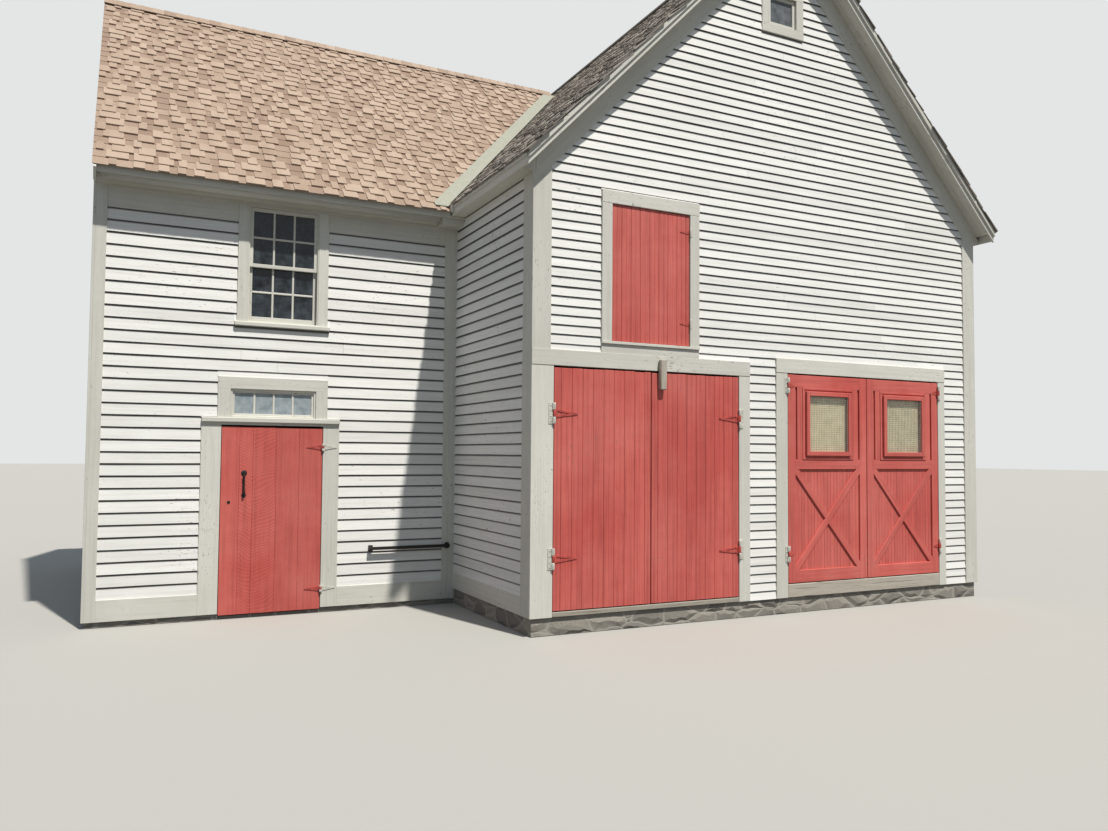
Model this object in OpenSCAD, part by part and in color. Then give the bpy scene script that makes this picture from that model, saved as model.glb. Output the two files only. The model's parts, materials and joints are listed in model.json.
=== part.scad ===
// Gable-front barn with a set-back wing, in millimetres.
// X runs to the right along the gable front, Y runs into the building and Z is up.
// The origin is on the ground under the middle of the main block.

/* [Main block] */
// Width of the gable end over its sheathing
barn_w = 6300; // [6100:10:6600]
// Length of the main block from gable to gable
barn_l = 9100; // [8800:10:9600]
// Thickness of every outside wall
wall_t = 150; // [130:5:170]
// Height on the outer wall face where the underside of the barn roof sits
barn_seat_h = 4760; // [4700:10:4900]
// Pitch of the barn roof in degrees
barn_pitch = 46; // [44:0.5:48]
// Thickness of rafters and boards in the barn roof, square to the slope
barn_deck_t = 82; // [70:1:100]
// Thickness of the wooden shakes, square to the slope
shake_t = 35; // [28:1:45]
// How far the barn roof stands out past the side walls
barn_eave_out = 150; // [120:5:200]
// How far the barn roof stands out past each gable
rake_out = 200; // [160:5:240]

/* [Wing] */
// Length of the wing from the main block to its party wall
wing_l = 3900; // [3700:10:4200]
// Depth of the wing from front to back
wing_w = 5500; // [5200:10:5700]
// Distance from the gable front back to the front of the wing
wing_setback = 2200; // [2000:10:2500]
// Height on the outer wall face where the underside of the wing roof sits
wing_seat_h = 4830; // [4790:10:4900]
// Pitch of the wing roof in degrees
wing_pitch = 45; // [43:0.5:46]
// Thickness of rafters and boards in the wing roof, square to the slope
wing_deck_t = 65; // [55:1:80]
// Thickness of the asphalt shingles, square to the slope
shingle_t = 25; // [20:1:30]
// How far the wing roof stands out past its walls
wing_eave_out = 250; // [200:5:300]

/* [Base and floors] */
// Height of the stone base under the main block
barn_base_h = 180; // [150:5:200]
// Height of the stone base under the wing
wing_base_h = 60; // [50:5:80]
// Width of the stone base
base_w = 250; // [220:5:300]
// Thickness of the barn floor planks
floor_t = 45; // [35:1:50]
// Width of the sleepers under the barn floor
sleeper_w = 200; // [150:5:240]
// Top of the loft floor
loft_h = 2900; // [2890:5:2935]
// Depth of the loft joists
loft_joist_h = 180; // [140:5:195]
// Width of the loft joists
loft_joist_w = 140; // [100:5:180]
// Thickness of the floor boards of the loft and of the wing's upper storey
board_t = 40; // [30:1:45]
// Width of the barn posts
post_w = 180; // [150:5:200]
// Thickness of the wing floor
wing_floor_t = 35; // [30:1:40]
// Height of the upper window's sill above the wing's upper floor
wing_sill_h = 390; // [340:5:420]
// Depth of the joists under the wing's upper floor
wing_joist_h = 140; // [120:5:150]
// Width of the joists under the wing's upper floor
wing_joist_w = 80; // [60:5:100]

/* [Barn doors] */
// Left edge of the left door opening, from the left corner
left_pair_x = 215; // [200:5:230]
// Share of the doors' width that the left opening takes, in percent
left_pair_share = 48.4; // [46:0.1:51]
// Underside of the left pair of doors
left_pair_foot = 240; // [235:1:255]
// Height of the left pair of doors
left_pair_h = 2415; // [2380:5:2440]
// Width of the wall between the two door openings
middle_pier_w = 690; // [660:5:720]
// Width of the wall right of the right door opening
right_pier_w = 665; // [620:5:700]
// Underside of the right pair of doors
right_pair_foot = 340; // [330:5:360]
// Height of the right pair of doors
right_pair_h = 2380; // [2340:5:2400]
// Thickness of a door leaf
leaf_t = 45; // [40:1:50]
// Gap between a leaf and its jamb
jamb_gap = 6; // [5:0.5:8]
// Gap between the two leaves of a pair
seam_gap = 10; // [9:0.5:14]
// Gap over a leaf
head_gap = 8; // [6:0.5:12]
// Gap under a leaf
foot_gap = 10; // [7:0.5:14]
// Height of the header beam over the left pair
beam_h = 160; // [140:5:180]
// Height of the header board over the right pair
header_h = 165; // [150:5:180]
// Width of the right jamb board of the left pair
left_pair_jamb_w = 150; // [130:5:170]
// Width of the left jamb board of the right pair
right_pair_jamb_w = 165; // [150:5:180]
// Width of the right jamb board of the right pair
right_pair_outer_jamb_w = 120; // [100:5:140]
// Width of the stiles and rails of the right pair
stile_w = 110; // [90:5:130]
// Height of the middle rail of the right pair above the foot of its leaves
lock_rail_z = 1290; // [1250:5:1330]
// Width of the sash frame in each leaf of the right pair
door_sash_w = 780; // [740:5:800]
// Height of the sash frame in each leaf of the right pair
door_sash_h = 830; // [780:5:860]
// Width of the bars of that sash frame
door_sash_bar = 95; // [80:5:110]

/* [Hinges] */
// Radius of a hinge pin
pin_r = 7; // [6:0.5:8]
// Clearance between a pin and the knuckle that turns on it
pin_play = 0.4; // [0.3:0.1:0.6]
// Outer radius of a hinge knuckle
knuckle_r = 12; // [11.5:0.5:13]
// Height of one hinge knuckle of the left pair
left_knuckle_h = 70; // [60:1:74]
// Height of one hinge knuckle of the right pair
right_knuckle_h = 60; // [50:1:64]
// Height of one hinge knuckle of the wing door
wing_knuckle_h = 26; // [22:1:30]
// Distance from the face of the jamb board out to the pin's centre
pin_out = 15; // [14.5:0.5:17]
// Thickness of straps and hinge plates
strap_t = 6; // [5:0.5:7]
// Length of the triangular straps of the left pair
long_strap_l = 262; // [240:2:300]
// Height of those straps at their root
long_strap_h = 82; // [70:1:90]
// Length of the straps of the wing door
short_strap_l = 165; // [140:5:190]
// Height of those straps at their root
short_strap_h = 56; // [44:1:64]
// Length of the matching straps on the casing of the wing door
casing_strap_l = 150; // [120:5:165]

/* [Wing door and windows] */
// Right edge of the wing door opening, from the main block
wing_door_x = 1575; // [1500:5:1650]
// Width of the wing door opening
wing_door_w = 1075; // [1020:5:1120]
// Height of the wing door
wing_door_h = 2015; // [1980:5:2030]
// Width of the casing boards left of the wing door
wing_left_casing_w = 200; // [180:5:220]
// Width of the casing boards right of the wing door
wing_right_casing_w = 180; // [160:5:200]
// Height of the drip cap over the wing door
drip_h = 80; // [60:5:90]
// Width of the transom light
transom_w = 900; // [860:5:940]
// Height of the transom light
transom_h = 310; // [290:5:330]
// Width of the boards round the transom light
transom_casing = 130; // [110:5:140]
// Centre of the upper window of the wing, from the main block
sash_x = 2035; // [1950:5:2150]
// Width of the upper window's sashes
sash_w = 750; // [700:5:800]
// Height of the upper window's sashes together
sash_h = 1270; // [1220:5:1290]
// Gap between the upper window's sashes and the frieze board over them
sash_head_gap = 18; // [8:1:30]
// Width of the casing of the upper window
sash_casing = 110; // [100:5:130]
// Width of the stiles and rails of the sashes
sash_bar = 48; // [40:1:56]
// Depth of each sash
sash_t = 35; // [30:1:40]
// Width of the gable window light
gable_light_w = 400; // [360:5:440]
// Height of the gable window light
gable_light_h = 350; // [320:5:380]
// Distance from the underside of the roof's ridge down to the gable window light
gable_light_drop = 917; // [880:1:960]
// Width of the casing of the gable window
gable_casing = 105; // [90:5:115]
// Thickness of the window glass
glass_t = 4; // [3:0.5:6]

/* [Loft door] */
// Left edge of the loft door, from the left corner
loft_x = 875; // [850:5:900]
// Width of the loft door
loft_w = 970; // [940:5:1000]
// Height of the loft door's foot above the loft floor
loft_sill_h = 45; // [40:5:70]
// Height of the loft door
loft_door_h = 1430; // [1400:5:1460]
// Width of the casing boards beside the loft door
loft_casing = 120; // [110:5:130]
// Height of the casing board over the loft door
loft_header = 135; // [120:5:140]

/* [Trim] */
// Thickness of the trim boards
trim_t = 28; // [24:1:32]
// Width of the corner boards on the gable ends
corner_w = 180; // [160:5:195]
// Width of the corner boards on the sides
corner_side_w = 200; // [180:5:220]
// Width of the frieze board under each rake
frieze_w = 195; // [180:5:210]
// Thickness of the boards at the edges of the roofs
edge_board_t = 22; // [18:1:26]
// Height of the crown strip at the top of each rake
crown_h = 45; // [40:1:50]
// How far shakes and shingles stand out past the boards under them
drip_out = 18; // [12:1:24]
// Height of the skirt board of the main block above its base
barn_skirt_h = 185; // [160:5:200]
// Height of the skirt board of the wing above its base
wing_skirt_h = 220; // [200:5:240]
// Height of the frieze board under the eaves of the wing
wing_frieze_h = 80; // [70:2:90]
// Height of the plain board under that frieze, beside the upper window
wing_band_h = 200; // [180:5:220]
// Radius of the moulding under the soffit of the wing
bed_r = 50; // [40:1:60]
// Width of the corner boards of the wing
wing_corner_w = 105; // [90:5:120]
// Width of the board in the inner corner of the wing
inner_corner_w = 160; // [140:5:180]
// Width of the metal band along the valleys
valley_w = 190; // [160:5:220]
// Thickness of the metal band along the valleys
valley_t = 5; // [3:0.5:8]
// Height of the ridge boards above the roof cover
ridge_cap_h = 30; // [24:1:36]
// Width of the ridge boards on each slope
ridge_cap_w = 130; // [110:5:150]

/* [Small fittings] */
// Left edge of the stop block, from the left corner
stop_x = 1430; // [1420:5:1450]
// Width of the stop block
stop_w = 100; // [80:5:110]
// Height of the stop block
stop_h = 320; // [300:5:340]
// How far the stop block reaches over the header beam
stop_over = 120; // [100:5:130]
// Thickness of the stop block
stop_t = 60; // [50:1:65]
// Distance of the wing door's latch from the door's pins
latch_x = 832; // [800:2:860]
// Height of the middle of that latch above the foot of the door
latch_z = 1390; // [1330:5:1430]
// Length of that latch
latch_h = 290; // [250:5:310]
// Distance of the wing door's lock from the door's pins
lock_x = 982; // [960:2:1000]
// Height of that lock above the foot of the door
lock_z = 1195; // [1150:5:1220]
// Length of the old bar on the wing wall
bar_l = 960; // [900:10:1000]
// Height of the old bar above the ground
bar_z = 690; // [660:5:720]
// Thickness of the old bar
bar_t = 34; // [28:1:40]

/* [Hidden] */
$fn = 32;

// Colours as the photograph shows them
wall_colour = "#e3dfd3";
trim_colour = "#c9c7ba";
door_colour = "#a33a35";
stone_colour = "#8f8a80";
timber_colour = "#a08a6c";
shake_colour = "#5b5048";
shingle_colour = "#b98f6b";
metal_colour = "#c0bda8";
iron_colour = "#2b2b2b";
glass_colour = "#9fb0b5";

// Places of the main planes
left_x = -barn_w / 2;
right_x = barn_w / 2;
front_y = -barn_l / 2;
back_y = barn_l / 2;
wing_left_x = left_x - wing_l;
wing_front_y = front_y + wing_setback;
wing_back_y = wing_front_y + wing_w;
wing_mid_y = wing_front_y + wing_w / 2;

// Heights of the roofs, and the play between a slope and what seats against it
seat_play = 0.1;
barn_slope = tan(barn_pitch);
wing_slope = tan(wing_pitch);
barn_deck_v = barn_deck_t / cos(barn_pitch);
shake_v = shake_t / cos(barn_pitch);
wing_deck_v = wing_deck_t / cos(wing_pitch);
shingle_v = shingle_t / cos(wing_pitch);
barn_ridge_under = barn_seat_h + barn_w / 2 * barn_slope;
wing_ridge_under = wing_seat_h + wing_w / 2 * wing_slope;
frieze_v = frieze_w / cos(barn_pitch);
barn_soffit_z = barn_seat_h - barn_eave_out * barn_slope - seat_play - edge_board_t;

// Underside of the barn roof at a place across the building, and the top of what seats there
function barn_under(x) = barn_ridge_under - abs(x) * barn_slope;
function barn_seat(x) = barn_under(x) - seat_play;
// Underside of the wing roof at a place into the building
function wing_under(y) = wing_ridge_under - abs(y - wing_mid_y) * wing_slope;

// Bents of posts and joists from the front wall to the back wall
bent_count = 4;
bent_step = (barn_l - 2 * wall_t - post_w) / (bent_count - 1);
function bent_y(i) = front_y + wall_t + post_w / 2 + i * bent_step;

// Faces of the jamb boards and of the leaves, out from the wall
leaf_set_back = 3;
jamb_face_out = trim_t;
leaf_face_out = trim_t - leaf_set_back;
loft_door_in = 5;
loft_door_t = 40;

// Heights and widths of the leaves and their openings
barn_floor_h = barn_base_h + floor_t;
doors_w = barn_w - left_pair_x - middle_pier_w - right_pier_w;
left_pair_w = round(doors_w * left_pair_share / 1000) * 10;
right_pair_w = doors_w - left_pair_w;
right_pair_x = left_pair_x + left_pair_w + middle_pier_w;
left_leaf_w = (left_pair_w - 2 * jamb_gap - seam_gap) / 2;
right_leaf_w = (right_pair_w - 2 * jamb_gap - seam_gap) / 2;
left_pair_head = left_pair_foot + left_pair_h + head_gap;
right_pair_head = right_pair_foot + right_pair_h + head_gap;
wing_door_foot = wing_floor_t + foot_gap;
wing_door_head = wing_door_foot + wing_door_h + head_gap;
transom_z = wing_door_head + drip_h;
transom_left = left_x - wing_door_x - wing_door_w / 2 - transom_w / 2;
loft_z = loft_h + loft_sill_h;
gable_sash_bar = 40;
gable_light_z = barn_ridge_under - gable_light_drop - gable_light_h;
wing_frieze_z = wing_seat_h - wing_eave_out * wing_slope - edge_board_t - wing_frieze_h;
sash_z = wing_frieze_z - sash_head_gap - sash_h;
wing_upper_h = sash_z - wing_sill_h;

// Hinge lines of the leaves, and the heights of their hinges above the foot of each leaf
left_leaf_pin = left_x + left_pair_x + jamb_gap / 2;
left_pair_right_pin = left_x + left_pair_x + left_pair_w - jamb_gap / 2;
right_leaf_pin = left_x + right_pair_x + jamb_gap / 2;
right_pair_right_pin = left_x + right_pair_x + right_pair_w - jamb_gap / 2;
wing_pin = left_x - wing_door_x - jamb_gap / 2;
left_hinge_z = [510, 1945];
right_hinge_z = [330, 2245];
wing_hinge_z = [225, 1790];
carriage_strap_h = 60;
strap_root = 4;
strap_tip = 0.2;
plate_gap = 1;

// How far a cutting shape runs past what it cuts, and a length that passes any part of the building
cut = 20;
beyond = 1000;

// Extrudes an outline in X and Z from one Y to another
module along_y(from_y, to_y) {
    translate([0, to_y, 0])
        rotate([90, 0, 0])
            linear_extrude(to_y - from_y)
                children();
}

// Extrudes an outline in Y and Z from one X to another
module along_x(from_x, to_x) {
    translate([from_x, 0, 0])
        rotate([90, 0, 90])
            linear_extrude(to_x - from_x)
                children();
}

// A box given by its lowest and highest corners
module block(low, high) {
    translate(low)
        cube(high - low);
}

// Everything that the roof and walls of the main block take up, which the wing is cut back to
module barn_outline(outwards = 0) {
    roof_edge = left_x - barn_eave_out - edge_board_t - drip_out;
    top = barn_deck_v + shake_v;
    along_y(front_y - beyond, back_y + beyond)
        translate([-outwards, 0])
            polygon([
                [left_x, -cut],
                [0, -cut],
                [0, barn_ridge_under + top],
                [roof_edge, barn_under(roof_edge) + top],
                [roof_edge, barn_soffit_z],
                [left_x, barn_soffit_z]]);
}

// The outline of a gable wall from a given height up to the roof
module gable_outline(from_z) {
    polygon([
        [left_x, from_z],
        [right_x, from_z],
        [right_x, barn_seat(right_x)],
        [0, barn_seat(0)],
        [left_x, barn_seat(left_x)]]);
}

// A band that follows one rake, between two heights above the seat under the roof
module rake_band(side, low, high, reach) {
    polygon([
        [0, barn_seat(0) + low],
        [0, barn_seat(0) + high],
        [side * reach, barn_seat(reach) + high],
        [side * reach, barn_seat(reach) + low]]);
}

// The frieze board under one rake, notched at its foot round the eave's soffit
module rake_frieze(side) {
    wall = barn_w / 2;
    reach = wall + trim_t;
    polygon([
        [0, barn_seat(0) - frieze_v],
        [0, barn_seat(0)],
        [side * wall, barn_seat(wall)],
        [side * wall, barn_soffit_z],
        [side * reach, barn_soffit_z],
        [side * reach, barn_seat(reach) - frieze_v]]);
}

module foundation() {
    wing_in_x = wing_left_x + base_w;
    color(stone_colour)
        difference() {
            union() {
                block([left_x, front_y, 0], [right_x, back_y, barn_base_h]);
                block([wing_left_x, wing_front_y, 0], [left_x, wing_back_y, wing_base_h]);
            }
            block([left_x + base_w, front_y + base_w, -cut],
                [right_x - base_w, back_y - base_w, barn_base_h + cut]);
            block([wing_in_x, wing_front_y + base_w, -cut],
                [left_x, wing_back_y - base_w, wing_base_h + cut]);
            block([left_x - wing_door_x - wing_door_w, wing_front_y - cut, wing_floor_t],
                [left_x - wing_door_x, wing_front_y + base_w + cut, wing_base_h + cut]);
        }
}

module barn_floor() {
    sleeper_count = 5;
    inner_w = barn_w - 2 * base_w;
    inner_l = barn_l - 2 * base_w;
    step = inner_w / (sleeper_count + 1);
    color(timber_colour) {
        block([left_x + wall_t, front_y + wall_t, barn_base_h],
            [right_x - wall_t, back_y - wall_t, barn_floor_h]);
        for (i = [1 : sleeper_count])
            translate([left_x + base_w + i * step - sleeper_w / 2, -inner_l / 2, 0])
                cube([sleeper_w, inner_l, barn_base_h]);
    }
}

module barn_loft_floor() {
    bays = 3;
    joist_count = bays * (bent_count - 1) + 1;
    color(timber_colour) {
        block([left_x + wall_t, front_y + wall_t, loft_h - board_t],
            [right_x - wall_t, back_y - wall_t, loft_h]);
        for (i = [0 : joist_count - 1])
            translate([left_x + wall_t, bent_y(i / bays) - loft_joist_w / 2,
                loft_h - board_t - loft_joist_h])
                cube([barn_w - 2 * wall_t, loft_joist_w, loft_joist_h]);
    }
}

module barn_posts() {
    post_top = loft_h - board_t - loft_joist_h;
    color(timber_colour)
        for (i = [1 : bent_count - 2], side = [-1, 1])
            translate([side * (barn_w / 2 - wall_t - post_w / 2), bent_y(i), barn_floor_h])
                translate([-post_w / 2, -post_w / 2, 0])
                    cube([post_w, post_w, post_top - barn_floor_h]);
}

// The wall beside and between the two door openings
module gable_piers() {
    piers = [
        [left_x, left_x + left_pair_x],
        [left_x + left_pair_x + left_pair_w, left_x + right_pair_x],
        [left_x + right_pair_x + right_pair_w, right_x]];
    color(wall_colour)
        for (pier = piers)
            block([pier[0], front_y, barn_base_h], [pier[1], front_y + wall_t, right_pair_head]);
}

module gable_light_cut() {
    translate([-gable_light_w / 2, gable_light_z])
        square([gable_light_w, gable_light_h]);
}

module gable_wall_upper() {
    color(wall_colour)
        along_y(front_y, front_y + wall_t)
            difference() {
                gable_outline(right_pair_head);
                gable_light_cut();
                translate([left_x + loft_x, loft_z])
                    square([loft_w, loft_door_h]);
            }
}

module back_gable_wall() {
    color(wall_colour)
        along_y(back_y - wall_t, back_y)
            difference() {
                gable_outline(barn_base_h);
                gable_light_cut();
            }
}

module barn_side_wall(side) {
    color(wall_colour)
        along_y(front_y + wall_t, back_y - wall_t)
            polygon([
                [side * barn_w / 2, barn_base_h],
                [side * (barn_w / 2 - wall_t), barn_base_h],
                [side * (barn_w / 2 - wall_t), barn_seat(barn_w / 2 - wall_t)],
                [side * barn_w / 2, barn_seat(barn_w / 2)]]);
}

module barn_left_wall() {
    barn_side_wall(-1);
}

module barn_right_wall() {
    barn_side_wall(1);
}

module barn_roof(side) {
    deck_x = barn_w / 2 + barn_eave_out;
    cover_x = deck_x + edge_board_t + drip_out;
    cover_out = rake_out + 2 * edge_board_t + drip_out;
    color(shake_colour) {
        along_y(front_y - rake_out, back_y + rake_out)
            polygon([
                [0, barn_ridge_under],
                [side * deck_x, barn_under(deck_x)],
                [side * deck_x, barn_under(deck_x) + barn_deck_v],
                [0, barn_ridge_under + barn_deck_v]]);
        along_y(front_y - cover_out, back_y + cover_out)
            polygon([
                [0, barn_ridge_under + barn_deck_v],
                [side * cover_x, barn_under(cover_x) + barn_deck_v],
                [side * cover_x, barn_under(cover_x) + barn_deck_v + shake_v],
                [0, barn_ridge_under + barn_deck_v + shake_v]]);
    }
}

module barn_roof_left() {
    barn_roof(-1);
}

module barn_roof_right() {
    barn_roof(1);
}

// Frieze on the wall, barge board at the edge of the roof and the crown strip on it
module rake_boards(side) {
    reach = barn_w / 2 + barn_eave_out + edge_board_t;
    barge_drop = 15;
    crown_v = crown_h / cos(barn_pitch);
    color(trim_colour)
        for (end = [-1, 1]) {
            wall_y = end * barn_l / 2;
            frieze_y = wall_y + end * trim_t;
            barge_y = wall_y + end * rake_out;
            outer_y = barge_y + end * edge_board_t;
            crown_y = outer_y + end * edge_board_t;
            along_y(min(wall_y, frieze_y), max(wall_y, frieze_y))
                rake_frieze(side);
            along_y(min(barge_y, outer_y), max(barge_y, outer_y))
                rake_band(side, -barge_drop, barn_deck_v, reach);
            along_y(min(outer_y, crown_y), max(outer_y, crown_y))
                rake_band(side, barn_deck_v - crown_v, barn_deck_v, reach);
        }
}

module rake_boards_left() {
    rake_boards(-1);
}

module rake_boards_right() {
    rake_boards(1);
}

// Boxed eaves of the main block, left open where the wing's roof covers them
module barn_eaves() {
    edge = barn_w / 2 + barn_eave_out;
    face = edge + edge_board_t;
    lip_z = barn_soffit_z + edge_board_t;
    runs = [
        [-1, front_y - rake_out, wing_front_y],
        [-1, wing_back_y, back_y + rake_out],
        [1, front_y - rake_out, back_y + rake_out]];
    color(trim_colour)
        for (run = runs)
            along_y(run[1], run[2])
                polygon([
                    [run[0] * barn_w / 2, barn_soffit_z],
                    [run[0] * face, barn_soffit_z],
                    [run[0] * face, barn_seat(face) + barn_deck_v],
                    [run[0] * edge, barn_seat(edge) + barn_deck_v],
                    [run[0] * edge, lip_z],
                    [run[0] * barn_w / 2, lip_z]]);
}

// A corner board of the main block wraps the corner: one leaf on the gable, one on the side
module barn_corner_board(side, end, foot) {
    wall_y = end * barn_l / 2;
    face_y = wall_y + end * trim_t;
    side_y = wall_y - end * corner_side_w;
    outer_x = barn_w / 2 + trim_t;
    inner_x = barn_w / 2 - corner_w;
    along_y(min(wall_y, face_y), max(wall_y, face_y))
        polygon([
            [side * inner_x, foot],
            [side * outer_x, foot],
            [side * outer_x, barn_seat(outer_x) - frieze_v],
            [side * inner_x, barn_seat(inner_x) - frieze_v]]);
    block([min(side * barn_w / 2, side * outer_x), min(wall_y, side_y), barn_base_h],
        [max(side * barn_w / 2, side * outer_x), max(wall_y, side_y), barn_soffit_z]);
}

module corner_boards() {
    color(trim_colour) {
        barn_corner_board(-1, -1, left_pair_head + beam_h);
        barn_corner_board(1, -1, barn_base_h);
        barn_corner_board(-1, 1, barn_base_h);
        barn_corner_board(1, 1, barn_base_h);
        for (y = [wing_front_y - trim_t, wing_back_y]) {
            block([wing_left_x, y, wing_base_h],
                [wing_left_x + wing_corner_w, y + trim_t, wing_frieze_z]);
            block([left_x - inner_corner_w, y, wing_base_h], [left_x, y + trim_t, wing_frieze_z]);
        }
    }
}

module skirt_boards() {
    barn_top = barn_base_h + barn_skirt_h;
    wing_top = wing_base_h + wing_skirt_h;
    door_left = left_x - wing_door_x - wing_door_w - wing_left_casing_w;
    door_right = left_x - wing_door_x + wing_right_casing_w;
    color(trim_colour) {
        block([left_x - trim_t, front_y + corner_side_w, barn_base_h],
            [left_x, wing_front_y - trim_t, barn_top]);
        block([left_x - trim_t, wing_back_y + trim_t, barn_base_h],
            [left_x, back_y - corner_side_w, barn_top]);
        block([right_x, front_y + corner_side_w, barn_base_h],
            [right_x + trim_t, back_y - corner_side_w, barn_top]);
        block([left_x + corner_w, back_y, barn_base_h],
            [right_x - corner_w, back_y + trim_t, barn_top]);
        block([wing_left_x + wing_corner_w, wing_front_y - trim_t, wing_base_h],
            [door_left, wing_front_y, wing_top]);
        block([door_right, wing_front_y - trim_t, wing_base_h],
            [left_x - inner_corner_w, wing_front_y, wing_top]);
        block([wing_left_x + wing_corner_w, wing_back_y, wing_base_h],
            [left_x - inner_corner_w, wing_back_y + trim_t, wing_top]);
    }
}

// The beam over the left pair, with the lintel behind it, and the board over the right pair
module door_headers() {
    left_jamb = left_x + left_pair_x;
    right_jamb = left_jamb + left_pair_w;
    second_jamb = left_x + right_pair_x;
    color(trim_colour) {
        block([left_x - trim_t, front_y - trim_t, left_pair_head],
            [right_jamb + left_pair_jamb_w, front_y, left_pair_head + beam_h]);
        block([left_jamb, front_y, left_pair_head], [right_jamb, front_y + wall_t, right_pair_head]);
        block([second_jamb - right_pair_jamb_w, front_y - trim_t, right_pair_head],
            [second_jamb + right_pair_w + right_pair_outer_jamb_w, front_y, right_pair_head + header_h]);
    }
}

// A board on the wall beside a door opening
module jamb_board(from_x, to_x, wall_y, foot, head) {
    block([from_x, wall_y - trim_t, foot], [to_x, wall_y, head]);
}

module door_jambs() {
    first = left_x + left_pair_x;
    first_end = first + left_pair_w;
    second = left_x + right_pair_x;
    second_end = second + right_pair_w;
    wing_end = left_x - wing_door_x;
    wing_start = wing_end - wing_door_w;
    color(trim_colour) {
        jamb_board(left_x - trim_t, first, front_y, barn_base_h, left_pair_head);
        jamb_board(first_end, first_end + left_pair_jamb_w, front_y, barn_base_h, left_pair_head);
        jamb_board(second - right_pair_jamb_w, second, front_y, barn_base_h, right_pair_head);
        jamb_board(second_end, second_end + right_pair_outer_jamb_w, front_y, barn_base_h, right_pair_head);
        jamb_board(wing_start - wing_left_casing_w, wing_start, wing_front_y, wing_base_h, wing_door_head);
        jamb_board(wing_end, wing_end + wing_right_casing_w, wing_front_y, wing_base_h, wing_door_head);
    }
}

module thresholds() {
    color(timber_colour) {
        block([left_x + left_pair_x, front_y - trim_t, barn_base_h],
            [left_x + left_pair_x + left_pair_w, front_y + wall_t, left_pair_foot - foot_gap]);
        block([left_x + right_pair_x, front_y - trim_t, barn_base_h],
            [left_x + right_pair_x + right_pair_w, front_y + wall_t, right_pair_foot - foot_gap]);
    }
}

// Everything that hangs on one hinge line is drawn for a leaf that runs to +X from its pin,
// with the wall face at Y = 0, and is mirrored for a leaf that runs the other way
module hang(pin_x, wall_y, foot, towards) {
    translate([pin_x, wall_y, foot])
        scale([towards, 1, 1])
            children();
}

// The knuckles and plate that stay on the jamb, with the pin through all three knuckles.
// The plate narrows from its root at the knuckles to its tip
module hinge_plate(z, plate_w, knuckle_h, root_h, tip_h) {
    pin_y = -jamb_face_out - pin_out;
    jamb_edge = -jamb_gap / 2;
    plate_edge = -knuckle_r - plate_gap;
    translate([0, 0, z]) {
        translate([0, pin_y, -1.5 * knuckle_h])
            cylinder(r = pin_r, h = 3 * knuckle_h);
        for (start = [-1.5 * knuckle_h, 0.5 * knuckle_h + pin_play])
            translate([0, 0, start]) {
                translate([0, pin_y, 0])
                    cylinder(r = knuckle_r, h = knuckle_h - pin_play);
                block([plate_edge - knuckle_r / 2, pin_y, 0],
                    [jamb_edge, -jamb_face_out, knuckle_h - pin_play]);
                block([jamb_edge, pin_y, 0], [0, pin_y + knuckle_r / 2, knuckle_h - pin_play]);
            }
        along_y(-jamb_face_out - strap_t, -jamb_face_out)
            polygon([
                [jamb_edge - plate_w, -tip_h / 2],
                [plate_edge, -root_h / 2],
                [plate_edge, root_h / 2],
                [jamb_edge - plate_w, tip_h / 2]]);
    }
}

// The knuckle and strap that ride on the leaf
module hinge_strap(z, strap_l, strap_h, knuckle_h, window) {
    pin_y = -jamb_face_out - pin_out;
    leaf_edge = jamb_gap / 2;
    root = knuckle_r + strap_root;
    face = -leaf_face_out;
    translate([0, 0, z]) {
        difference() {
            union() {
                translate([0, pin_y, -0.5 * knuckle_h])
                    cylinder(r = knuckle_r, h = knuckle_h);
                block([0, pin_y, -0.5 * knuckle_h], [root, face, 0.5 * knuckle_h]);
            }
            translate([0, pin_y, -knuckle_h])
                cylinder(r = pin_r + pin_play, h = 2 * knuckle_h);
            block([-knuckle_r, -jamb_face_out - 1, -knuckle_h], [leaf_edge, 0, knuckle_h]);
        }
        along_y(face - strap_t, face)
            difference() {
                polygon([
                    [root, -strap_h / 2],
                    [strap_l, -strap_h * strap_tip / 2],
                    [strap_l, strap_h * strap_tip / 2],
                    [root, strap_h / 2]]);
                if (window)
                    polygon([
                        [root + strap_h / 5, -strap_h / 4],
                        [root + strap_l * 0.55, 0],
                        [root + strap_h / 5, strap_h / 4]]);
            }
    }
}

module hinge_plates() {
    jamb_plate = 55;
    narrow_plate = 40;
    left_plate_h = 3 * left_knuckle_h;
    right_plate_h = 3 * right_knuckle_h;
    color(trim_colour) {
        for (z = left_hinge_z) {
            hang(left_leaf_pin, front_y, left_pair_foot, 1)
                hinge_plate(z, jamb_plate, left_knuckle_h, left_plate_h, left_plate_h);
            hang(left_pair_right_pin, front_y, left_pair_foot, -1)
                hinge_plate(z, jamb_plate, left_knuckle_h, left_plate_h, left_plate_h);
        }
        for (z = right_hinge_z) {
            hang(right_leaf_pin, front_y, right_pair_foot, 1)
                hinge_plate(z, narrow_plate, right_knuckle_h, right_plate_h, right_plate_h);
            hang(right_pair_right_pin, front_y, right_pair_foot, -1)
                hinge_plate(z, narrow_plate, right_knuckle_h, right_plate_h, right_plate_h);
        }
        for (z = wing_hinge_z)
            hang(wing_pin, wing_front_y, wing_door_foot, -1)
                hinge_plate(z, casing_strap_l, wing_knuckle_h, short_strap_h, short_strap_h * strap_tip);
    }
}

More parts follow.
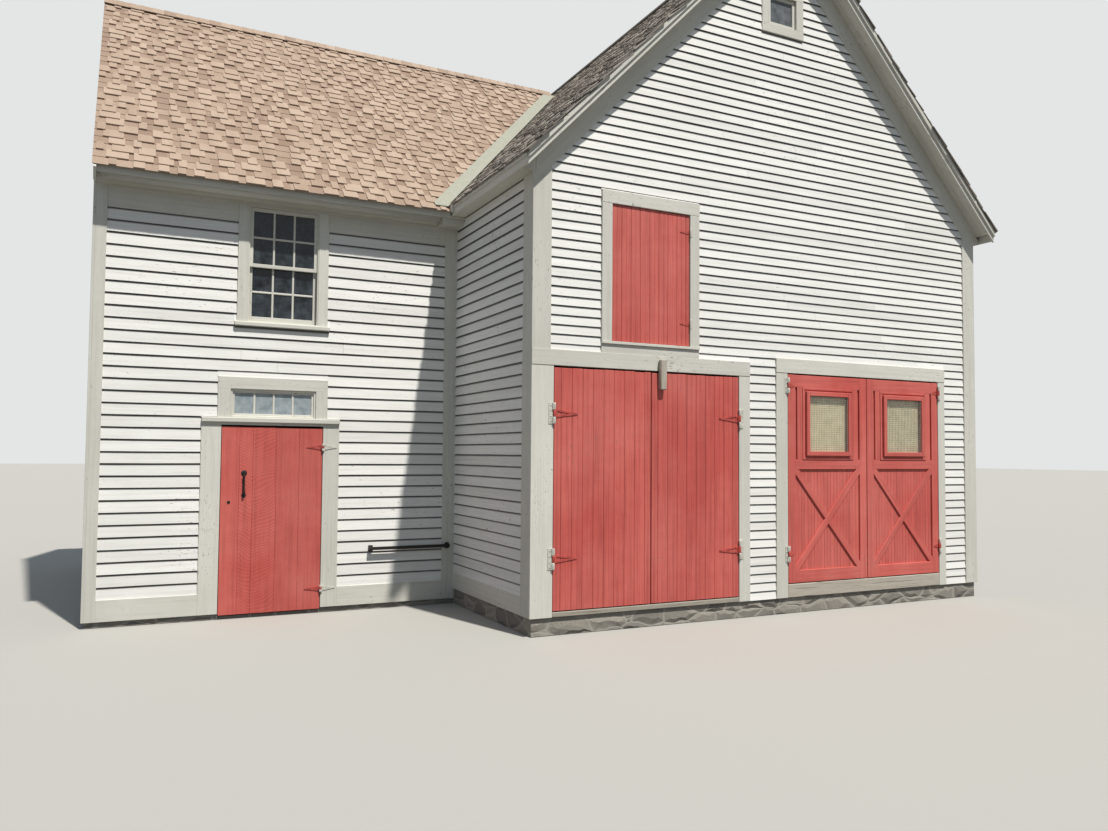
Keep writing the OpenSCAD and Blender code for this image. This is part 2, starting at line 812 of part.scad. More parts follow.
// A leaf of upright boards held by ledges on its back
module board_leaf(width, height, hinge_z, strap_l, strap_h, knuckle_h, window) {
    ledge_h = 140;
    ledge_t = 28;
    ledge_in = 60;
    edge = jamb_gap / 2;
    back = leaf_t - leaf_face_out;
    block([edge, -leaf_face_out, 0], [edge + width, back, height]);
    for (z = [hinge_z[0] - ledge_h / 2, hinge_z[1] - ledge_h / 2])
        block([edge + ledge_in, back, z], [edge + width - ledge_in, back + ledge_t, z + ledge_h]);
    for (z = hinge_z)
        hinge_strap(z, strap_l, strap_h, knuckle_h, window);
}

module left_pair_left_leaf() {
    color(door_colour)
        hang(left_leaf_pin, front_y, left_pair_foot, 1)
            board_leaf(left_leaf_w, left_pair_h, left_hinge_z, long_strap_l, long_strap_h,
                left_knuckle_h, true);
}

module left_pair_right_leaf() {
    color(door_colour)
        hang(left_pair_right_pin, front_y, left_pair_foot, -1)
            board_leaf(left_leaf_w, left_pair_h, left_hinge_z, long_strap_l, long_strap_h,
                left_knuckle_h, true);
}

// The block on the leaf's face laps the header beam and keeps the leaf from swinging inwards
module stop_block() {
    beam_gap = 6;
    step_down = 10;
    face_y = front_y - leaf_face_out;
    beam_clear = front_y - trim_t - beam_gap;
    step_z = left_pair_head - head_gap - step_down;
    top = left_pair_head + stop_over;
    color(timber_colour)
        along_x(left_x + stop_x, left_x + stop_x + stop_w)
            polygon([
                [face_y, top - stop_h],
                [face_y, step_z],
                [beam_clear, step_z],
                [beam_clear, top],
                [face_y - stop_t, top],
                [face_y - stop_t, top - stop_h]]);
}

// A framed leaf: stiles and rails, a thin panel, a sash in the upper half and a cross below
module framed_leaf(width, height) {
    edge = jamb_gap / 2;
    face = -leaf_face_out;
    back = leaf_t - leaf_face_out;
    panel_in = 12;
    brace_w = 70;
    brace_t = 20;
    sash_proud = 22;
    strap_end = 15;
    sash_left = edge + (width - door_sash_w) / 2;
    sash_foot = lock_rail_z + stile_w;
    light_w = door_sash_w - 2 * door_sash_bar;
    light_h = door_sash_h - 2 * door_sash_bar;
    pane_y = face + leaf_t / 2;
    pane_t = 8;
    panel_w = width - 2 * stile_w;
    panel_h = lock_rail_z - stile_w;
    brace_angle = atan(panel_h / panel_w);
    brace_l = sqrt(panel_w * panel_w + panel_h * panel_h) + brace_w;
    difference() {
        block([edge, face, 0], [edge + width, back, height]);
        block([edge + stile_w, face - cut, stile_w],
            [edge + width - stile_w, face + panel_in, lock_rail_z]);
        block([edge + stile_w, face - cut, sash_foot],
            [edge + width - stile_w, face + panel_in, height - stile_w]);
        block([sash_left + door_sash_bar, face - cut, sash_foot + door_sash_bar],
            [sash_left + door_sash_bar + light_w, back + cut, sash_foot + door_sash_bar + light_h]);
    }
    difference() {
        block([sash_left, face - sash_proud, sash_foot],
            [sash_left + door_sash_w, face + panel_in, sash_foot + door_sash_h]);
        block([sash_left + door_sash_bar, face - sash_proud - cut, sash_foot + door_sash_bar],
            [sash_left + door_sash_bar + light_w, back + cut, sash_foot + door_sash_bar + light_h]);
    }
    block([sash_left + door_sash_bar, pane_y, sash_foot + door_sash_bar],
        [sash_left + door_sash_bar + light_w, pane_y + pane_t, sash_foot + door_sash_bar + light_h]);
    intersection() {
        block([edge + stile_w, face + panel_in - brace_t, stile_w],
            [edge + width - stile_w, face + panel_in, lock_rail_z]);
        for (turn = [brace_angle, -brace_angle])
            translate([edge + width / 2, 0, stile_w + panel_h / 2])
                rotate([0, turn, 0])
                    block([-brace_l / 2, face + panel_in - brace_t, -brace_w / 2],
                        [brace_l / 2, face + panel_in, brace_w / 2]);
    }
    for (z = right_hinge_z)
        hinge_strap(z, stile_w - strap_end, carriage_strap_h, right_knuckle_h, false);
}

module right_pair_left_leaf() {
    color(door_colour)
        hang(right_leaf_pin, front_y, right_pair_foot, 1)
            framed_leaf(right_leaf_w, right_pair_h);
}

module right_pair_right_leaf() {
    color(door_colour)
        hang(right_pair_right_pin, front_y, right_pair_foot, -1)
            framed_leaf(right_leaf_w, right_pair_h);
}

module loft_door() {
    color(door_colour)
        block([left_x + loft_x, front_y + loft_door_in, loft_z],
            [left_x + loft_x + loft_w, front_y + loft_door_in + loft_door_t, loft_z + loft_door_h]);
}

module loft_door_casing() {
    door_left = left_x + loft_x;
    door_right = door_left + loft_w;
    top = loft_z + loft_door_h;
    foot = left_pair_head + beam_h;
    sill_h = 30;
    sill_out = 18;
    color(trim_colour) {
        for (x = [door_left - loft_casing, door_right])
            block([x, front_y - trim_t, loft_z], [x + loft_casing, front_y, top]);
        block([door_left - loft_casing, front_y - trim_t, top],
            [door_right + loft_casing, front_y, top + loft_header]);
        block([door_left - loft_casing, front_y - trim_t - sill_out, loft_z - sill_h],
            [door_right + loft_casing, front_y, loft_z]);
        block([door_left - loft_casing, front_y - trim_t, foot],
            [door_right + loft_casing, front_y, loft_z - sill_h]);
    }
}

// A frame round a rectangular light, drawn in X and Z
module light_frame(x, z, w, h, bar) {
    difference() {
        translate([x - bar, z - bar])
            square([w + 2 * bar, h + 2 * bar]);
        translate([x, z])
            square([w, h]);
    }
}

module gable_windows() {
    sash_x0 = -gable_light_w / 2 + gable_sash_bar;
    sash_z0 = gable_light_z + gable_sash_bar;
    for (end = [-1, 1]) {
        wall_y = end * barn_l / 2;
        out_y = wall_y + end * trim_t;
        in_y = wall_y - end * sash_t;
        color(trim_colour) {
            along_y(min(wall_y, out_y), max(wall_y, out_y))
                light_frame(-gable_light_w / 2, gable_light_z, gable_light_w, gable_light_h, gable_casing);
            along_y(min(wall_y, in_y), max(wall_y, in_y))
                light_frame(sash_x0, sash_z0, gable_light_w - 2 * gable_sash_bar,
                    gable_light_h - 2 * gable_sash_bar, gable_sash_bar);
        }
    }
}

// Sheets of glass in the middle of their sashes
module window_glass() {
    gable_w = gable_light_w - 2 * gable_sash_bar;
    gable_h = gable_light_h - 2 * gable_sash_bar;
    pane_w = sash_w - 2 * sash_bar;
    pane_h = sash_h / 2 - 1.5 * sash_bar;
    sash_left = left_x - sash_x - sash_w / 2;
    color(glass_colour) {
        for (end = [-1, 1])
            translate([0, end * (barn_l / 2 - sash_t / 2), 0])
                block([-gable_w / 2, -glass_t / 2, gable_light_z + gable_sash_bar],
                    [gable_w / 2, glass_t / 2, gable_light_z + gable_sash_bar + gable_h]);
        for (wall = [[wing_front_y, 1], [wing_back_y, -1]]) {
            translate([sash_left + sash_bar, wall[0] + wall[1] * sash_t / 2, 0])
                block([0, -glass_t / 2, sash_z + sash_h - sash_bar - pane_h],
                    [pane_w, glass_t / 2, sash_z + sash_h - sash_bar]);
            translate([sash_left + sash_bar, wall[0] + wall[1] * 1.5 * sash_t, 0])
                block([0, -glass_t / 2, sash_z + sash_bar],
                    [pane_w, glass_t / 2, sash_z + sash_bar + pane_h]);
        }
        translate([transom_left + sash_bar / 2, wing_front_y + sash_t / 2, 0])
            block([0, -glass_t / 2, transom_z + sash_bar / 2],
                [transom_w - sash_bar, glass_t / 2, transom_z + transom_h - sash_bar / 2]);
    }
}

module ridge_caps() {
    barn_top = barn_ridge_under + barn_deck_v + shake_v;
    wing_top = wing_ridge_under + wing_deck_v + shingle_v;
    barn_x = ridge_cap_w * cos(barn_pitch);
    wing_y = ridge_cap_w * cos(wing_pitch);
    cover_out = rake_out + 2 * edge_board_t + drip_out;
    color(shake_colour)
        along_y(front_y - cover_out, back_y + cover_out)
            for (side = [-1, 1])
                polygon([
                    [0, barn_top + seat_play],
                    [0, barn_top + ridge_cap_h],
                    [side * barn_x, barn_top - barn_x * barn_slope + ridge_cap_h],
                    [side * barn_x, barn_top - barn_x * barn_slope + seat_play]]);
    color(shingle_colour)
        difference() {
            along_x(wing_left_x, 0)
                for (side = [-1, 1])
                    polygon([
                        [wing_mid_y, wing_top],
                        [wing_mid_y, wing_top + ridge_cap_h / 2],
                        [wing_mid_y + side * wing_y, wing_top - wing_y * wing_slope + ridge_cap_h / 2],
                        [wing_mid_y + side * wing_y, wing_top - wing_y * wing_slope]]);
            barn_outline();
        }
}

module wing_floor() {
    color(timber_colour)
        block([wing_left_x + base_w, wing_front_y + base_w, 0],
            [left_x, wing_back_y - base_w, wing_floor_t]);
}

module wing_upper_floor() {
    joist_count = 5;
    step = (wing_l - wall_t) / (joist_count + 1);
    color(timber_colour) {
        block([wing_left_x + wall_t, wing_front_y + wall_t, wing_upper_h - board_t],
            [left_x, wing_back_y - wall_t, wing_upper_h]);
        for (i = [1 : joist_count])
            translate([wing_left_x + wall_t + i * step - wing_joist_w / 2, wing_front_y + wall_t,
                wing_upper_h - board_t - wing_joist_h])
                cube([wing_joist_w, wing_w - 2 * wall_t, wing_joist_h]);
    }
}

module wing_wall_left() {
    color(wall_colour)
        block([wing_left_x, wing_front_y, wing_base_h],
            [left_x - wing_door_x - wing_door_w, wing_front_y + wall_t, wing_door_head]);
}

module wing_wall_right() {
    color(wall_colour)
        block([left_x - wing_door_x, wing_front_y, wing_base_h],
            [left_x, wing_front_y + wall_t, wing_door_head]);
}

// The outline in Y and Z of the wing's front or back wall, whose top follows the roof
module wing_wall_outline(outer_y, inner_y, from_z) {
    polygon([
        [outer_y, from_z],
        [inner_y, from_z],
        [inner_y, wing_under(inner_y)],
        [outer_y, wing_seat_h]]);
}

module wing_wall_upper() {
    color(wall_colour)
        difference() {
            along_x(wing_left_x, left_x)
                wing_wall_outline(wing_front_y, wing_front_y + wall_t, wing_door_head);
            barn_outline();
            along_y(wing_front_y - cut, wing_front_y + wall_t + cut) {
                translate([transom_left, transom_z])
                    square([transom_w, transom_h]);
                translate([left_x - sash_x - sash_w / 2, sash_z])
                    square([sash_w, sash_h]);
            }
        }
}

module wing_back_wall() {
    color(wall_colour)
        difference() {
            along_x(wing_left_x, left_x)
                wing_wall_outline(wing_back_y, wing_back_y - wall_t, wing_base_h);
            barn_outline();
            along_y(wing_back_y - wall_t - cut, wing_back_y + cut)
                translate([left_x - sash_x - sash_w / 2, sash_z])
                    square([sash_w, sash_h]);
        }
}

module wing_party_wall() {
    front = wing_front_y + wall_t;
    back = wing_back_y - wall_t;
    color(wall_colour)
        along_x(wing_left_x, wing_left_x + wall_t)
            polygon([
                [front, wing_base_h],
                [back, wing_base_h],
                [back, wing_under(back)],
                [wing_mid_y, wing_ridge_under],
                [front, wing_under(front)]]);
}

// One slope of the wing's roof between two heights above its underside
module wing_slope_band(side, low, high, out) {
    edge = wing_mid_y + side * (wing_w / 2 + out);
    along_x(wing_left_x, 0)
        polygon([
            [wing_mid_y, wing_ridge_under + low],
            [edge, wing_under(edge) + low],
            [edge, wing_under(edge) + high],
            [wing_mid_y, wing_ridge_under + high]]);
}

module wing_roof(side) {
    color(shingle_colour)
        difference() {
            union() {
                wing_slope_band(side, 0, wing_deck_v, wing_eave_out);
                wing_slope_band(side, wing_deck_v, wing_deck_v + shingle_v,
                    wing_eave_out + edge_board_t + drip_out);
            }
            barn_outline();
        }
}

module wing_roof_front() {
    wing_roof(-1);
}

module wing_roof_back() {
    wing_roof(1);
}

// Boxed eaves of the wing, with a rounded moulding and the frieze board under the soffit,
// and a plain board under the frieze on both sides of the upper window
module wing_eaves() {
    band_t = 16;
    window_left = left_x - sash_x - sash_w / 2 - sash_casing;
    window_right = window_left + sash_w + 2 * sash_casing;
    color(trim_colour)
        for (side = [-1, 1]) {
            wall_y = wing_mid_y + side * wing_w / 2;
            frieze_y = wall_y + side * trim_t;
            edge = wall_y + side * wing_eave_out;
            face = edge + side * edge_board_t;
            lip_z = wing_under(edge);
            soffit_z = lip_z - edge_board_t;
            moulding = [
                for (turn = [0 : 15 : 90])
                    [frieze_y + side * bed_r * sin(turn), soffit_z - bed_r * cos(turn)]];
            difference() {
                along_x(wing_left_x, left_x)
                    polygon(concat(
                        [[wall_y, wing_frieze_z], [frieze_y, wing_frieze_z]],
                        moulding,
                        [[face, soffit_z],
                            [face, wing_under(face) + wing_deck_v],
                            [edge, lip_z + wing_deck_v],
                            [edge, lip_z],
                            [wall_y, lip_z]]));
                barn_outline();
            }
            band_y = wall_y + side * band_t;
            for (run = [
                [wing_left_x + wing_corner_w, window_left],
                [window_right, left_x - inner_corner_w]])
                block([run[0], min(wall_y, band_y), wing_frieze_z - wing_band_h],
                    [run[1], max(wall_y, band_y), wing_frieze_z]);
        }
}

module valley_flashing() {
    top = wing_deck_v + shingle_v;
    valley_v = valley_t / cos(wing_pitch);
    color(metal_colour)
        difference() {
            intersection() {
                union() {
                    wing_slope_band(-1, top, top + valley_v, wing_eave_out + edge_board_t);
                    wing_slope_band(1, top, top + valley_v, wing_eave_out + edge_board_t);
                }
                barn_outline(valley_w);
            }
            barn_outline();
            along_x(wing_left_x, 0)
                translate([wing_mid_y - ridge_cap_w * cos(wing_pitch), wing_ridge_under])
                    square([2 * ridge_cap_w * cos(wing_pitch), beyond]);
        }
}

// The latch on the face of the wing door, with its thumb plate at the top, and the lock beside it
module door_latch() {
    plate_w = 24;
    plate_t = 5;
    thumb_r = 30;
    foot_r = 22;
    grip_r = 9;
    grip_out = 32;
    grip_over = 14;
    post_r = 8;
    lock_r = 17;
    translate([latch_x, -leaf_face_out, latch_z]) {
        block([-plate_w / 2, -plate_t, -latch_h / 2 + foot_r], [plate_w / 2, 0, latch_h / 2 - thumb_r]);
        for (end = [[latch_h / 2 - thumb_r, thumb_r], [-latch_h / 2 + foot_r, foot_r]])
            translate([0, 0, end[0]])
                rotate([90, 0, 0]) {
                    cylinder(r = end[1], h = plate_t);
                    cylinder(r = post_r, h = grip_out);
                }
        translate([0, -grip_out, -latch_h / 2 + foot_r - grip_over])
            cylinder(r = grip_r, h = latch_h - thumb_r - foot_r + 2 * grip_over);
    }
    translate([lock_x, -leaf_face_out, lock_z])
        rotate([90, 0, 0])
            cylinder(r = lock_r, h = plate_t);
}

module wing_door() {
    hang(wing_pin, wing_front_y, wing_door_foot, -1) {
        color(door_colour)
            board_leaf(wing_door_w - 2 * jamb_gap, wing_door_h, wing_hinge_z, short_strap_l,
                short_strap_h, wing_knuckle_h, false);
        color(iron_colour)
            door_latch();
    }
}

// The drip cap over the wing door, the casing of the transom light and its sash
module transom_frame() {
    door_left = left_x - wing_door_x - wing_door_w;
    door_right = left_x - wing_door_x;
    cap_out = 30;
    color(trim_colour) {
        block([door_left - wing_left_casing_w, wing_front_y - trim_t - cap_out, wing_door_head],
            [door_right + wing_right_casing_w, wing_front_y, transom_z]);
        along_y(wing_front_y - trim_t, wing_front_y)
            difference() {
                translate([transom_left - transom_casing, transom_z])
                    square([transom_w + 2 * transom_casing, transom_h + transom_casing]);
                translate([transom_left, transom_z])
                    square([transom_w, transom_h]);
            }
        along_y(wing_front_y, wing_front_y + sash_t)
            light_frame(transom_left + sash_bar / 2, transom_z + sash_bar / 2,
                transom_w - sash_bar, transom_h - sash_bar, sash_bar / 2);
    }
}

// Casing, sill and the two sashes, the upper one in front of the lower one
module sash_window(side) {
    left = left_x - sash_x - sash_w / 2;
    pane_w = sash_w - 2 * sash_bar;
    pane_h = sash_h / 2 - 1.5 * sash_bar;
    sill_h = 45;
    sill_out = 25;
    wall_y = wing_mid_y + side * wing_w / 2;
    out_y = wall_y + side * trim_t;
    sill_y = out_y + side * sill_out;
    in_y = wall_y - side * sash_t;
    deep_y = in_y - side * sash_t;
    along_y(min(wall_y, out_y), max(wall_y, out_y))
        difference() {
            translate([left - sash_casing, sash_z])
                square([sash_w + 2 * sash_casing, wing_frieze_z - sash_z]);
            translate([left, sash_z])
                square([sash_w, sash_h]);
        }
    block([left - sash_casing - sill_out, min(wall_y, sill_y), sash_z - sill_h],
        [left + sash_w + sash_casing + sill_out, max(wall_y, sill_y), sash_z]);
    along_y(min(wall_y, in_y), max(wall_y, in_y))
        light_frame(left + sash_bar, sash_z + sash_h - sash_bar - pane_h, pane_w, pane_h, sash_bar);
    along_y(min(in_y, deep_y), max(in_y, deep_y))
        light_frame(left + sash_bar, sash_z + sash_bar, pane_w, pane_h, sash_bar);
}

module sash_windows() {
    color(trim_colour)
        for (side = [-1, 1])
            sash_window(side);
}

module wall_bar() {
    bracket_w = 45;
    stand_off = 25;
    lap = 80;
    end_x = left_x - inner_corner_w + lap;
    color(iron_colour) {
        block([end_x - bar_l, wing_front_y - trim_t - stand_off - bar_t, bar_z - bar_t / 2],
            [end_x, wing_front_y - trim_t - stand_off, bar_z + bar_t / 2]);
        block([end_x - bar_l, wing_front_y - trim_t - stand_off, bar_z - bar_t],
            [end_x - bar_l + bracket_w, wing_front_y, bar_z + bar_t]);
        block([end_x - bracket_w, wing_front_y - trim_t - stand_off, bar_z - bar_t],
            [end_x, wing_front_y - trim_t, bar_z + bar_t]);
    }
}

foundation();
barn_floor();
barn_loft_floor();
barn_posts();
gable_piers();
gable_wall_upper();
back_gable_wall();
barn_left_wall();
barn_right_wall();
barn_roof_left();
barn_roof_right();
rake_boards_left();
rake_boards_right();
barn_eaves();
corner_boards();
skirt_boards();
door_headers();
door_jambs();
thresholds();
hinge_plates();
left_pair_left_leaf();
left_pair_right_leaf();
stop_block();
right_pair_left_leaf();
right_pair_right_leaf();
loft_door();
loft_door_casing();
gable_windows();
window_glass();
ridge_caps();
wing_floor();
wing_upper_floor();
wing_wall_left();
wing_wall_right();
wing_wall_upper();
wing_back_wall();
wing_party_wall();
wing_roof_front();
wing_roof_back();
wing_eaves();
valley_flashing();
wing_door();
transom_frame();
sash_windows();
wall_bar();
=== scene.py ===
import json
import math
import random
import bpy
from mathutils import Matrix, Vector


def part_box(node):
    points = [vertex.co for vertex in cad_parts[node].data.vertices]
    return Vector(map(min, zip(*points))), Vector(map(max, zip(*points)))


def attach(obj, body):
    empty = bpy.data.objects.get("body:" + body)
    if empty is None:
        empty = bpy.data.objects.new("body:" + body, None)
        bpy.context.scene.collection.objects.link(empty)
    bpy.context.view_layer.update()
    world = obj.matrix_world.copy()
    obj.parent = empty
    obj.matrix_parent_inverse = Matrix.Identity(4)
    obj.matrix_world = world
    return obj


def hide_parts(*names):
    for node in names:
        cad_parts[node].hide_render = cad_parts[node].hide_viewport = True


bl_info = {
    "name": "Gable-front barn",
    "version": (1, 0, 0),
    "blender": (4, 5, 0),
    "location": "View3D > Sidebar > Barn",
    "description": "Dresses the frame of a barn with boards, roofing, doors and windows",
    "category": "Object",
}

import bmesh
import bpy
from bpy.props import FloatProperty, PointerProperty, StringProperty
from mathutils import Matrix, Vector

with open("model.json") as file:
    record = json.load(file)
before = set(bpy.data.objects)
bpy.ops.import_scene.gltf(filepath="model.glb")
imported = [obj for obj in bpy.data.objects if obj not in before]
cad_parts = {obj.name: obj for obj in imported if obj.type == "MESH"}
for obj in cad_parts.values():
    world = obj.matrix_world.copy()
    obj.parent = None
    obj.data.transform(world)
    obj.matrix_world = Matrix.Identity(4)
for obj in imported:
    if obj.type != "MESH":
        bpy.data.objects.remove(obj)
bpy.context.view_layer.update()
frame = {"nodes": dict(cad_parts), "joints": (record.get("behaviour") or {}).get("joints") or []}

UP = Vector((0, 0, 1))
ACROSS = Vector((1, 0, 0))
INWARDS = Vector((0, 1, 0))
OUTWARDS = -INWARDS

# Where the main block and the wing stand, as the frame has them
LEFT, FRONT, BASE_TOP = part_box("gable_piers")[0]
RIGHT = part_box("gable_piers")[1].x
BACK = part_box("back_gable_wall")[1].y
WING_LEFT, WING_FRONT, WING_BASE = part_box("wing_wall_left")[0]
WING_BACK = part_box("wing_back_wall")[1].y
WING_MIDDLE = (WING_FRONT + WING_BACK) / 2

# Roofs: pitch, thickness of the deck and of what covers it, square to the slope
BARN_PITCH = math.radians(46)
WING_PITCH = math.radians(45)
BARN_DECK, SHAKE_COVER = 0.082, 0.035
WING_DECK, SHINGLE_COVER = 0.065, 0.025
BARN_SLOPE = math.tan(BARN_PITCH)
BARN_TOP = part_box("barn_roof_left")[1].z
WING_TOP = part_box("wing_roof_front")[1].z
WING_SEAT = WING_TOP - (WING_DECK + SHINGLE_COVER) / math.cos(WING_PITCH)
BARN_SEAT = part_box("gable_wall_upper")[1].z
BARN_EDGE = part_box("barn_roof_right")[1].x
BARN_RAKE = -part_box("barn_roof_right")[0].y
WING_EDGE = WING_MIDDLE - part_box("wing_roof_front")[0].y

# Thickness of the trim, of the boards at the eaves and of a leaf, and how far a leaf's face stands out
TRIM = 0.028
EDGE_BOARD = 0.022
LEAF = 0.045
LEAF_OUT = 0.025
LEAF_EDGE = 0.003
KNUCKLE_R = 0.013
# How high the hinges sit above the foot of a leaf, and how tall their knuckles are
HINGES = {"left_pair": ((0.51, 1.945), 0.07), "right_pair": ((0.33, 2.245), 0.06), "wing_door": ((0.225, 1.79), 0.026)}
# How far below the roof's seat, measured upright, the rake boards end
FRIEZE_DROP = 0.2807
PINS = {joint["name"]: joint["pos_m"] for joint in frame["joints"]}

# Heights at which the siding ends, and openings that the siding and the trim share
GABLE_TOP, WING_END_TOP = 7.72, 7.46
SKIRT = BASE_TOP + 0.185
SASH_W, SASH_H, SASH_CASING, SILL = 0.75, 1.27, 0.11, 0.045
WINDOW_MIDDLE = LEFT - 2.035
TRANSOM_LEFT, TRANSOM_RIGHT, TRANSOM_FOOT, TRANSOM_CASING = LEFT - 2.5625, LEFT - 1.6625, 2.148, 0.13

# The record's slot for each finish, except sheathing, which takes that of what covers it, and the mixed finishes
SLOTS = {
    "clapboard": "clapboard_paint", "trim": "trim_paint", "red": "red_door_paint", "sawn_red": "red_door_paint",
    "timber": "old_timber", "planks": "old_timber", "stone": "field_stone", "shake": "wooden_shakes",
    "shingle": "asphalt_shingles", "flashing": "painted_flashing", "iron_trim": "painted_iron",
    "iron_red": "painted_iron", "iron_black": "black_iron", "zinc": "black_iron", "glass": "window_glass",
    "sky_glass": "window_glass", "dusty_glass": "window_glass", "pane": "window_glass"}
FINISHES = {}


def paint(colour):
    """Turns an sRGB hex colour to the linear one that a shader takes."""
    parts = [int(colour[i:i + 2], 16) / 255 for i in (1, 3, 5)]
    return tuple(c / 12.92 if c <= 0.04045 else ((c + 0.055) / 1.055) ** 2.4 for c in parts) + (1.0,)


def add(tree, kind, inputs=None, **settings):
    """Adds one node with its settings, and fills or links its inputs. A node stands for its first output."""
    made = tree.nodes.new(kind)
    for name, value in settings.items():
        setattr(made, name, value)
    for key, value in (inputs or {}).items():
        if isinstance(value, bpy.types.Node):
            value = value.outputs[0]
        if isinstance(value, bpy.types.NodeSocket):
            tree.links.new(value, made.inputs[key])
        else:
            made.inputs[key].default_value = value
    return made


def link(name, data):
    """Makes an object of some data and puts it in the scene."""
    made = bpy.data.objects.new(name, data)
    bpy.context.scene.collection.objects.link(made)
    return made


def point_mesh(name, points, edges=(), faces=(), **values):
    """A mesh whose points carry named numbers, or named vectors."""
    mesh = bpy.data.meshes.new(name)
    mesh.from_pydata(points, edges, faces)
    for key, given in values.items():
        kind, field = ("FLOAT", "value") if isinstance(given[0], float) else ("FLOAT_VECTOR", "vector")
        flat = given if field == "value" else [c for vector in given for c in vector]
        mesh.attributes.new(key, kind, "POINT").data.foreach_set(field, flat)
    return mesh


def own_look(chance):
    """Draws a shift of the grain and a tone, so that no two boards are alike."""
    return Vector([chance.uniform(0, 40) for _ in range(3)]), chance.random()


# Finishes


def start_finish(name, **sockets):
    """Starts a material and sets the constant sockets of its shader."""
    finish = bpy.data.materials.new(name)
    finish.use_nodes = True
    shader = finish.node_tree.nodes["Principled BSDF"]
    for socket, value in sockets.items():
        shader.inputs[socket.replace("_", " ")].default_value = value
    return finish, finish.node_tree


def end_finish(finish, base, coats, value=None, bump=None, dull=None):
    """Lays coats on a base colour, each by its share, and links them, a bump and a roughness to the shader."""
    tree = finish.node_tree
    shader = tree.nodes["Principled BSDF"]
    colour = paint(base)
    for share, coat in coats:
        colour = add(tree, "ShaderNodeMix", {0: share, 6: colour, 7: paint(coat)}, data_type="RGBA").outputs[2]
    if value:
        colour = add(tree, "ShaderNodeHueSaturation", {"Value": value, "Color": colour}).outputs[0]
    tree.links.new(colour, shader.inputs["Base Color"])
    if bump:
        relief = add(tree, "ShaderNodeBump", dict(zip(("Strength", "Distance", "Height"), bump)))
        tree.links.new(relief.outputs[0], shader.inputs["Normal"])
    if dull:
        tree.links.new(dull.outputs[0], shader.inputs["Roughness"])
    return finish


def board_fields(tree):
    """What the pattern of a board follows: its own grain and tone, and its place on the barn."""
    grain, tone = (add(tree, "ShaderNodeAttribute", attribute_name=name) for name in ("grain", "tone"))
    return grain.outputs["Vector"], tone.outputs["Fac"], add(tree, "ShaderNodeTexCoord").outputs["Object"]


def to_the_eye(tree):
    """1 where a camera, a mirror or a pane looks, 0 where light is gathered."""
    path = add(tree, "ShaderNodeLightPath").outputs
    seen = add(tree, "ShaderNodeMath", {0: path["Is Camera Ray"], 1: path["Is Glossy Ray"]}, operation="MAXIMUM")
    return add(tree, "ShaderNodeMath", {0: seen, 1: path["Is Transmission Ray"]}, operation="MAXIMUM")


